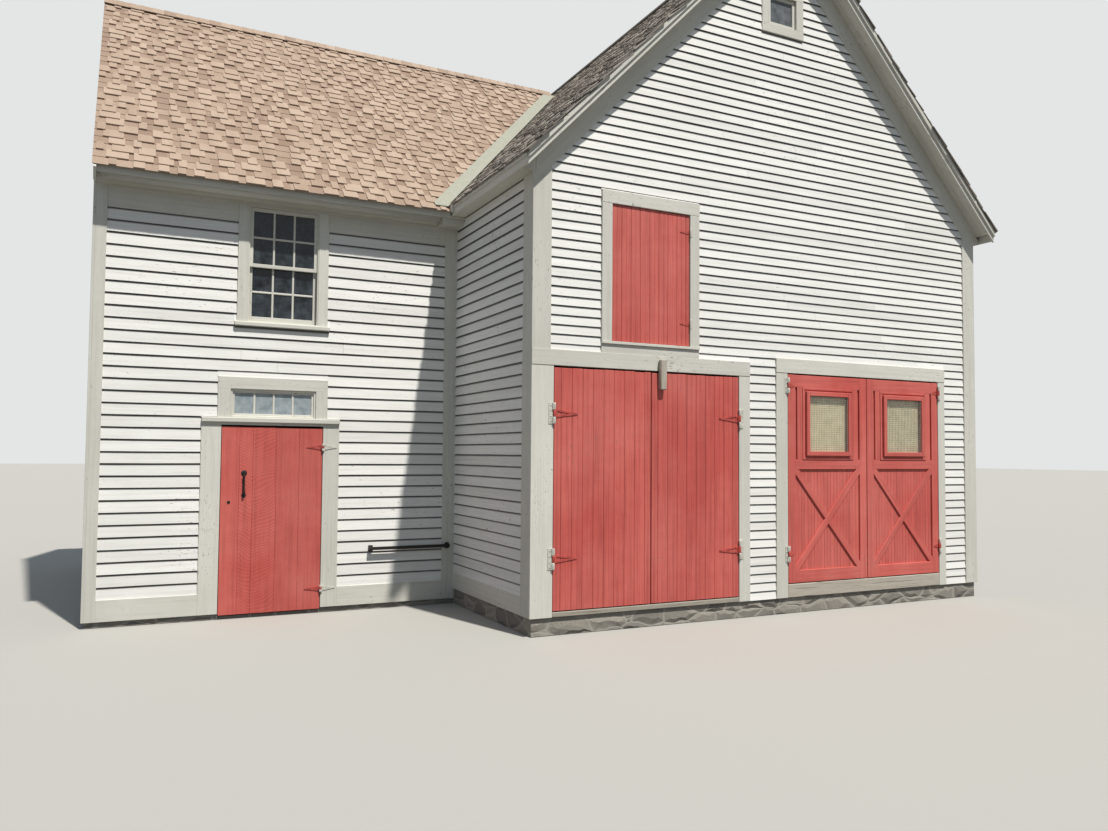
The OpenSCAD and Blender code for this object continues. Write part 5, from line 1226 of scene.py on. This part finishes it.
class BARN_OT_plank_doors(bpy.types.Operator):
    """The left pair of leaves, the wing door and the loft door, with their ironwork"""
    bl_idname = "barn.plank_doors"
    bl_label = "Plank doors"

    def execute(self, context):
        look = context.scene.barn_door
        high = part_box("left_pair_left_leaf")[1]
        pin = PINS["left_pair_left_hinge"]
        near, far = 0.081, 0.077
        middle = (high.x - pin[0] - LEAF_EDGE - near - far) / 8
        widths = [near] + [middle] * 8 + [far]
        for side, towards in (("left", 1), ("right", -1)):
            plank_leaf(f"left_pair_{side}_leaf", "left_pair", FRONT, towards, high.z - pin[2], widths,
                       look.groove, 0.0022, (0.262, 0.082, 0.017), True, "red")
        self.stop_block()
        self.wing_door(PINS["wing_door_hinge"])
        self.loft_door(look)
        return {"FINISHED"}

    def stop_block(self):
        """A silvered block with worn ends that tapers downwards; its upper part passes in front of the beam."""
        low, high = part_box("stop_block")
        middle = (low.x + high.x) / 2
        block = Boards(60)
        block.board((middle - 0.043, low.y, low.z), UP, ACROSS, high.z - low.z, 0.086, 0.048, 0.009)
        block.board((middle - 0.04, low.y + 0.047, low.z + 0.01), UP, ACROSS, 0.17, 0.08, high.y - low.y - 0.047, 0.003)
        for vert in block.mesh.verts:
            vert.co.x += (middle - vert.co.x) * 0.2 * (high.z - vert.co.z) / (high.z - low.z)
        block.done("stop_block_grey", "timber", "left_pair_right_leaf", ("stop_block",))

    def wing_door(self, pin):
        """Five wide boards with tapering straps, a thumb latch with its grip, and a keyhole plate."""
        low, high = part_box("wing_door")
        width = pin[0] - low.x - LEAF_EDGE
        foot = pin[2]
        widths = [width * share for share in (0.235, 0.2305, 0.2305, 0.130, 0.174)]
        plank_leaf("wing_door", "wing_door", WING_FRONT, -1, high.z - foot, widths,
                   0.002, 0.0, (0.165, 0.056, 0.012), False, "sawn_red")
        face = WING_FRONT - LEAF_OUT
        latch = Boards(61)
        x, top = pin[0] - 0.832, foot + 1.525
        grip = [(0.0, 0.012), (0.012, 0.014), (0.03, 0.011), (0.06, 0.008), (0.11, 0.0095), (0.16, 0.008),
                (0.19, 0.011), (0.205, 0.013), (0.214, 0.008)]
        # Rose and thumb piece at the top, the plate at the foot, and the bar between them
        for y, z, profile, count in (
                (face, top - 0.02, [(-0.002, 0.03), (0.003, 0.031), (0.006, 0.026), (0.008, 0.012)], 20),
                (face, top - 0.02, [(0.006, 0.008), (0.026, 0.008), (0.03, 0.005)], 10),
                (face - 0.001, top - 0.258, [(-0.001, 0.024), (0.003, 0.024), (0.006, 0.018)], 18)):
            latch.turned((x, y, z), OUTWARDS, profile, count)
        latch.block((x - 0.011, face - 0.006, top - 0.25), (x + 0.011, face, top - 0.02), "z", 0.003)
        latch.turned((x, face - 0.03, top - 0.245), UP, grip, 10)
        for z in (top - 0.24, top - 0.045):
            latch.turned((x, face, z), OUTWARDS, [(0.0, 0.008), (0.03, 0.0075), (0.034, 0.004)], 10)
        for z in (top - 0.262, top + 0.002):
            latch.head((x, face - 0.005, z), 0.004, 0.003)
        latch.turned((x - 0.15, face, foot + 1.195), OUTWARDS, [(-0.001, 0.017), (0.003, 0.017), (0.006, 0.013)], 16)
        latch.done("wing_door_latch", "iron_black", "wing_door")

    def loft_door(self, look):
        """Beaded boards in the casing, with two short straps that hang on pins at the right."""
        low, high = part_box("loft_door")
        gap, face, wide = 0.004, FRONT - 0.02, 0.1145
        door = Boards(64)
        x = low.x + gap
        while x < high.x - gap - 0.01:
            end = min(x + wide, high.x - gap)
            nudge = door.random.uniform(0, 0.004)
            plank(door, x + 0.0006, end - x - 0.0012, face, low.z + 0.004, high.z - 0.004 - nudge, 0.024, look.groove,
                  0.003 if end - x > 0.1 else 0.0)
            door.block((x + 0.0008, face + 0.0243, low.z + 0.005), (end - 0.0008, high.y, high.z - 0.006), "z", 0.002)
            for z in (low.z + 0.25, high.z - 0.25):
                for share in (0.3, 0.7):
                    spot = (x + (end - x) * share, face, z + door.random.uniform(-0.01, 0.01))
                    door.head(spot, 0.0034, 0.0013)
            x = end
        door.done("loft_door_boards", "red", nodes=("loft_door",))
        iron, pins = Boards(65), Boards(66)
        front = FRONT - 0.036
        for z in (3.185, 4.18):
            root = (high.x - gap, face, z)
            strap(iron, root, -1, 0.125, 0.036, 0.009, 0.004)
            for share in (0.02, 0.09):
                iron.head((root[0] - share, face - 0.004, z), 0.004, 0.003)
            pins.turned((high.x - 0.001, front - 0.004, z - 0.055), UP,
                        [(0.0, 0.005), (0.004, 0.0065), (0.106, 0.0065), (0.11, 0.005)], 10)
            pins.block((high.x + 0.003, front - 0.003, z - 0.045), (high.x + 0.024, front, z + 0.045), "z", 0.001)
            for rise in (-0.03, 0.03):
                pins.head((high.x + 0.016, front - 0.003, z + rise), 0.004, 0.003)
        iron.done("loft_door_straps", "iron_red")
        pins.done("loft_door_pins", "iron_trim")


def mesh_tree():
    """Turns each edge of the guide into a round wire."""
    tree, given = start_tree("Wires", Radius=0.0018)
    curves = add(tree, "GeometryNodeMeshToCurve", {0: given.outputs["Geometry"]})
    section = add(tree, "GeometryNodeCurvePrimitiveCircle", {"Resolution": 6, "Radius": given.outputs["Radius"]})
    return end_tree(tree, given, add(tree, "GeometryNodeCurveToMesh", {0: curves, 1: section, 3: True}))


class BARN_OT_framed_doors(bpy.types.Operator):
    """The right pair of leaves: frames, beaded panels, crosses and small meshed lights"""
    bl_idname = "barn.framed_doors"
    bl_label = "Framed doors"

    def execute(self, context):
        wires = mesh_tree()
        for side, towards in (("left", 1), ("right", -1)):
            self.leaf(f"right_pair_{side}_leaf", PINS[f"right_pair_{side}_hinge"], towards, wires)
        return {"FINISHED"}

    def leaf(self, node, pin, towards, wires):
        """One leaf: frame and panel, the light with its sash, the cross, the pane, its wires and the ironwork."""
        low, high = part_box(node)
        stile, foot_rail, top_rail, panel_back = 0.11, 0.14, 0.142, 0.02
        out, back, deep = LEAF_OUT, LEAF_OUT - LEAF, LEAF_OUT - panel_back
        face = FRONT - out
        foot, top = pin[2], high.z - 0.006
        lock = foot + 1.29
        width = (high.x - pin[0] if towards > 0 else pin[0] - low.x) - LEAF_EDGE
        left = min(pin[0] + towards * LEAF_EDGE, pin[0] + towards * (LEAF_EDGE + width))
        right = left + width
        leaf = Boards(sum(map(ord, node)))
        leaf.border(GABLE, (left, right), (foot, top), (stile, stile, foot_rail, top_rail), (back, out))
        leaf.on(GABLE, (left + stile, right - stile), (lock, lock + stile), (back, out - 0.0006), False, 0.003)
        inner = right - left - 2 * stile
        count = round(inner / 0.05)
        for i in range(count):
            x = left + stile + i * inner / count
            plank(leaf, x, inner / count, FRONT - deep, foot + foot_rail - 0.01, lock + 0.01, panel_back, 0.0035)
        # The light, from the back: a panel, a casing with a slot beside each stile, a thin moulding, and the sash that
        # stands proud
        sash_w, bar = 0.78, 0.095
        x, z = (left + right - sash_w) / 2, (lock + stile, top - top_rail)
        for u, grow_z, depth, ease in ((left + stile - 0.005, 0.005, (back + 0.002, deep), 0.001),
                                       (left + stile + 0.028, 0.0, (deep, out - 0.001), 0.003)):
            side = x + bar - u
            leaf.border(GABLE, (u, left + right - u), (z[0] - grow_z, z[1] + grow_z),
                        (side, side, bar + grow_z, bar + grow_z), depth, ease)
        for inset, wide, depth in ((0.0, 0.026, (out - 0.002, out + 0.008)), (0.045, 0.05, (out - 0.03, out + 0.029))):
            leaf.border(GABLE, (x + inset, x + sash_w - inset), (z[0] + inset, z[1] - inset), wide, depth, 0.004)
        # The cross: the brace that rises to the right runs through, the other lies a little deeper. Their ends are let
        # into the frame
        middle = Vector(((left + right) / 2, FRONT - deep, (foot + foot_rail + lock) / 2))
        half = Vector((inner / 2, 0, (lock - foot - foot_rail) / 2))
        reach, brace = half.length + 0.02, 0.076
        for flip, thick in ((1, 0.0192), (-1, 0.0175)):
            run = Vector((half.x, 0, flip * half.z)).normalized()
            wide = run.cross(INWARDS)
            if run.cross(wide).y > 0:
                wide = -wide
            leaf.board(middle - run * reach - wide * (brace / 2), run, wide, 2 * reach, brace, thick, 0.003)
        leaf.done(node + "_frame", "red", node, (node,))
        pane = Boards(71)
        x0, x1 = x + bar - 0.004, x + sash_w - bar + 0.004
        z0, z1 = z[0] + bar - 0.004, z[1] - bar + 0.004
        pane.block((x0, face + 0.024, z0), (x1, face + 0.031, z1), "z", 0.0005)
        pane.done(node + "_pane", "pane", node)
        # Upright wires in front, level ones behind them, an inch apart
        spacing, points = 0.0254, []
        for k in range(1, int((x1 - x0) / spacing) + 1):
            points += [(x0 + k * spacing, face - 0.018, end) for end in (z0, z1)]
        for k in range(1, int((z1 - z0) / spacing) + 1):
            points += [(end, face - 0.0148, z0 + k * spacing) for end in (x0, x1)]
        guide = point_mesh("wire_guide", points, [(i, i + 1) for i in range(0, len(points), 2)])
        grow(wires, node + "_wire", guide, "zinc", node, Radius=0.0018)
        iron = Boards(72)
        heights, knuckle = HINGES["right_pair"]
        for z in heights:
            root = (pin[0] + towards * (KNUCKLE_R + 0.004), face, foot + z)
            strap(iron, root, towards, 0.078, 0.056, 0.03, 0.004)
            iron.knuckle((pin[0], FRONT - TRIM - 0.015, foot + z), knuckle, (0.003, KNUCKLE_R + 0.008), towards, face)
            for share, rise in ((0.02, 0.015), (0.02, -0.015), (0.055, 0.0)):
                iron.head((root[0] + towards * share, face - 0.004, foot + z + rise), 0.005, 0.0035)
        iron.done(node + "_straps", "iron_red", node)


# Windows


class BARN_OT_windows(bpy.types.Operator):
    """Casings, sashes, glazing bars and panes of every window"""
    bl_idname = "barn.windows"
    bl_label = "Windows"

    def execute(self, context):
        self.sash_windows()
        self.transom()
        self.gable_windows()
        # The transom's panes carry a painted sky reflection, the sash windows' panes a painted dark shade
        for low, name, finish in ((0, "transom_panes", "sky_glass"), (3, "window_panes", "glass"),
                                  (6, "gable_panes", "dusty_glass")):
            softened("window_glass", name, finish, ease=0, only=lambda centre: low < centre.z < low + 3)
        return {"FINISHED"}

    def sash_windows(self):
        """The wing's two windows: casing, sill, stops and two sashes of six lights each."""
        window = Boards(81)
        casing, stile, rail, bar = SASH_CASING, 0.048, 0.042, 0.011
        sill_low, head = (corner.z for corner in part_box("sash_windows"))
        foot = sill_low + SILL
        top = foot + SASH_H
        half = SASH_H / 2
        for wall, flip in ((WING_FACE, 1), (WING_REAR, -1)):
            middle = flip * WINDOW_MIDDLE
            left, right = middle - SASH_W / 2, middle + SASH_W / 2
            window.on(wall, (left - casing, left), (foot, head), (0, TRIM), True, 0.003)
            window.on(wall, (right, right + casing), (foot, head), (0, TRIM), True, 0.003)
            window.on(wall, (left, right), (top, head), (0, TRIM - 0.001), False, 0.002)
            horn = casing + 0.025
            window.on(wall, (left - horn, right + horn), (sill_low, foot), (0, TRIM + 0.025), False, 0.006)
            window.on(wall, (left, right), (foot - 0.002, foot + 0.012), (-0.09, TRIM), False, 0.004)
            # Stops on both sides of the opening, then the upper sash in front of the lower
            for a, b in ((left, left + 0.012), (right - 0.012, right)):
                window.on(wall, (a, b), (foot, top), (-0.005, TRIM - 0.006), True, 0.002)
            for low, high, out, bottom in ((foot + half - stile / 2, top, (-0.035, -0.001), 0.04),
                                           (foot, foot + half + stile / 2, (-0.07, -0.036), 0.072)):
                window.border(wall, (left, right), (low, high), (stile, stile, bottom, rail), out)
                inner_w, inner_low, inner_high = SASH_W - 2 * stile, low + bottom, high - rail
                for k in (1, 2):
                    u = left + stile + k * inner_w / 3
                    window.on(wall, (u - bar, u + bar), (inner_low - 0.001, inner_high + 0.001),
                              (out[0] + 0.006, out[1] - 0.004), True, 0.004)
                z = (inner_low + inner_high) / 2
                window.on(wall, (left + stile, right - stile), (z - bar, z + bar),
                          (out[0] + 0.006, out[1] - 0.005), False, 0.004)
        window.done("sash_windows_painted", "trim", nodes=("sash_windows",))

    def transom(self):
        """The light over the wing door: head board and cap of the door's casing, the casing and four panes."""
        light = Boards(82)
        low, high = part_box("transom_frame")
        foot, casing, left, right = TRANSOM_FOOT, TRANSOM_CASING, TRANSOM_LEFT, TRANSOM_RIGHT
        top, cap, bar = high.z - casing, 0.05, 0.011
        light.on(WING_FACE, (low.x, high.x), (low.z, foot - cap), (0, TRIM - 0.002), False, 0.003)
        light.on(WING_FACE, (low.x, high.x), (foot - cap - 0.002, foot), (0, TRIM + 0.03), False, 0.006)
        for a, b in ((left - casing, left), (right, right + casing)):
            light.on(WING_FACE, (a, b), (foot, top), (0, TRIM), True, 0.003)
        light.on(WING_FACE, (left - casing, right + casing), (top, high.z), (0, TRIM), False, 0.003)
        light.border(WING_FACE, (left, right), (foot, top), 0.02, (-0.02, 0.012))
        light.border(WING_FACE, (left + 0.012, right - 0.012), (foot + 0.012, top - 0.012),
                     (0.032, 0.032, 0.032, 0.028), (-0.035, -0.004))
        inner = right - left - 0.088
        for k in (1, 2, 3):
            u = left + 0.044 + k * inner / 4
            light.on(WING_FACE, (u - bar, u + bar), (foot + 0.043, top - 0.039), (-0.03, -0.007), True, 0.004)
        light.done("transom_painted", "trim", nodes=("transom_frame",))

    def gable_windows(self):
        """The small light high in each gable."""
        light = Boards(83)
        low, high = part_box("gable_windows")
        casing, half = 0.105, 0.2
        foot, top = low.z + casing, high.z - casing
        for wall in (GABLE, BACK_GABLE):
            for a, b in ((-half - casing, -half), (half, half + casing)):
                light.on(wall, (a, b), (foot, top), (0, TRIM - 0.001), True, 0.003)
            for a, b in ((low.z, foot), (top, high.z)):
                light.on(wall, (-half - casing, half + casing), (a, b), (0, TRIM), False, 0.003)
            light.border(wall, (-half, half), (foot, top), 0.04, (-0.035, -0.002))
        light.done("gable_windows_painted", "trim", nodes=("gable_windows",))


class BARN_OT_hinge_plates(bpy.types.Operator):
    """The plates, knuckles and pins that stay on the jambs"""
    bl_idname = "barn.hinge_plates"
    bl_label = "Hinge plates"

    def execute(self, context):
        plates = Boards(91)
        pin_r, edge, play = 0.007, LEAF_EDGE, 0.0002
        rows = (("left_pair_left_hinge", "left_pair", 1, FRONT, 0.055),
                ("left_pair_right_hinge", "left_pair", -1, FRONT, 0.055),
                ("right_pair_left_hinge", "right_pair", 1, FRONT, 0.04),
                ("right_pair_right_hinge", "right_pair", -1, FRONT, 0.04),
                ("wing_door_hinge", "wing_door", -1, WING_FRONT, 0.15))
        for name, hinge, towards, wall_y, plate_w in rows:
            x, y, foot = PINS[name]
            face = wall_y - TRIM
            heights, knuckle = HINGES[hinge]
            for z in heights:
                z += foot
                plates.turned((x, y, z - 1.5 * knuckle), UP, [(0.0, pin_r), (3 * knuckle, pin_r)], 12)
                reach = (edge, KNUCKLE_R * 1.5 + 0.001)
                for rise in (-knuckle - play, knuckle + play):
                    plates.knuckle((x, y, z + rise), knuckle - 2 * play, reach, -towards, face)
                if hinge == "wing_door":
                    # On the wing's casing a strap matches the one on the door
                    root = (x - towards * (KNUCKLE_R + 0.001), face, z)
                    strap(plates, root, -towards, plate_w + edge - KNUCKLE_R, 0.056, 0.012, 0.006)
                    for share, rise in ((0.15, 0.25), (0.15, -0.25), (0.55, 0.0), (0.92, 0.0)):
                        spot = (x - towards * (KNUCKLE_R + plate_w * share), face - 0.006, z + rise * 0.05)
                        plates.head(spot, 0.005, 0.004)
                    continue
                a, b = sorted((x - towards * (edge + plate_w), x - towards * (KNUCKLE_R + 0.001)))
                plates.block((a, face - 0.006, z - 1.5 * knuckle), (b, face, z + 1.5 * knuckle), "z", 0.002)
                for rise in (-1.15, -0.4, 0.4, 1.15):
                    spot = (x - towards * (edge + plate_w * 0.62), face - 0.006, z + rise * knuckle)
                    plates.head(spot, 0.007, 0.005)
        plates.done("hinge_plates_painted", "iron_trim", nodes=("hinge_plates",))
        return {"FINISHED"}


class BARN_OT_stage(bpy.types.Operator):
    """Floor, sun, sky and camera"""
    bl_idname = "barn.stage"
    bl_label = "Stage"

    def execute(self, context):
        look = context.scene.barn_stage
        context.scene.view_settings.view_transform = "Standard"
        half, level = 120, -0.002
        corners = [(x * half, y * half, level) for x, y in ((-1, -1), (1, -1), (1, 1), (-1, 1))]
        floor = link("floor", point_mesh("floor", corners, (), [(0, 1, 2, 3)]))
        floor.data.materials.append(plain_floor("plain_pale_floor", look.floor, look.turf))
        light = bpy.data.lights.new("sun", "SUN")
        light.energy = look.sun
        light.angle = math.radians(1.2)
        light.color = (1.0, 0.97, 0.92)
        sun = link("sun", light)
        sun.rotation_mode = "QUATERNION"
        sun.rotation_quaternion = Vector((0.25, -1.0, 1.9)).to_track_quat("Z", "Y")
        world = bpy.data.worlds.new("sky")
        world.use_nodes = True
        tree = world.node_tree
        tree.nodes.clear()
        sky = add(tree, "ShaderNodeBackground", {"Color": paint("#CBDCF2"), "Strength": look.sky})
        back = add(tree, "ShaderNodeBackground", {"Color": paint(look.backdrop), "Strength": 1.0})
        mixed = add(tree, "ShaderNodeMixShader", {0: to_the_eye(tree), 1: sky, 2: back})
        add(tree, "ShaderNodeOutputWorld", {0: mixed})
        context.scene.world = world
        # The camera stands left of the wing's front, 1.54 m above the foot of the left doors
        yaw, pitch, roll = (math.radians(angle) for angle in (26.41, 2.50, 0.452))
        ahead = Vector((math.sin(yaw) * math.cos(pitch), math.cos(yaw) * math.cos(pitch), math.sin(pitch)))
        level_right = ahead.cross(UP).normalized()
        right = level_right * math.cos(roll) + level_right.cross(ahead) * math.sin(roll)
        lens = bpy.data.cameras.new("camera")
        lens.lens = 28.59
        lens.sensor_width = 36.0
        lens.clip_end = 500
        camera = link("camera", lens)
        camera.rotation_mode = "QUATERNION"
        camera.location = (-6.798, -12.366, 1.783)
        camera.rotation_quaternion = Matrix([right, right.cross(ahead), -ahead]).transposed().to_quaternion()
        context.scene.camera = camera
        return {"FINISHED"}


class BARN_PT_panel(bpy.types.Panel):
    """Steps that dress the barn, in order"""
    bl_idname = "BARN_PT_panel"
    bl_label = "Barn"
    bl_space_type = "VIEW_3D"
    bl_region_type = "UI"
    bl_category = "Barn"

    def draw(self, context):
        for step in STEPS:
            self.layout.operator(step.bl_idname)
        for group in LOOKS:
            look = getattr(context.scene, group)
            for name in look.bl_rna.properties.keys():
                if name not in ("rna_type", "name"):
                    self.layout.prop(look, name)


LOOKS = {"barn_siding": SidingLook, "barn_roof": RoofLook, "barn_door": DoorLook, "barn_stage": StageLook}
STEPS = (BARN_OT_stage, BARN_OT_finishes, BARN_OT_siding, BARN_OT_trim, BARN_OT_shakes, BARN_OT_shingles,
         BARN_OT_plank_doors, BARN_OT_framed_doors, BARN_OT_windows, BARN_OT_hinge_plates)


def register():
    for group in LOOKS.values():
        bpy.utils.register_class(group)
    for step in STEPS + (BARN_PT_panel,):
        bpy.utils.register_class(step)
    for name, group in LOOKS.items():
        setattr(bpy.types.Scene, name, PointerProperty(type=group))


def unregister():
    for name in LOOKS:
        delattr(bpy.types.Scene, name)
    for step in reversed(STEPS + (BARN_PT_panel,)):
        bpy.utils.unregister_class(step)
    for group in reversed(list(LOOKS.values())):
        bpy.utils.unregister_class(group)


def main():
    register()
    for step in STEPS:
        area, name = step.bl_idname.split(".")
        getattr(getattr(bpy.ops, area), name)()


if __name__ == "__main__":
    main()
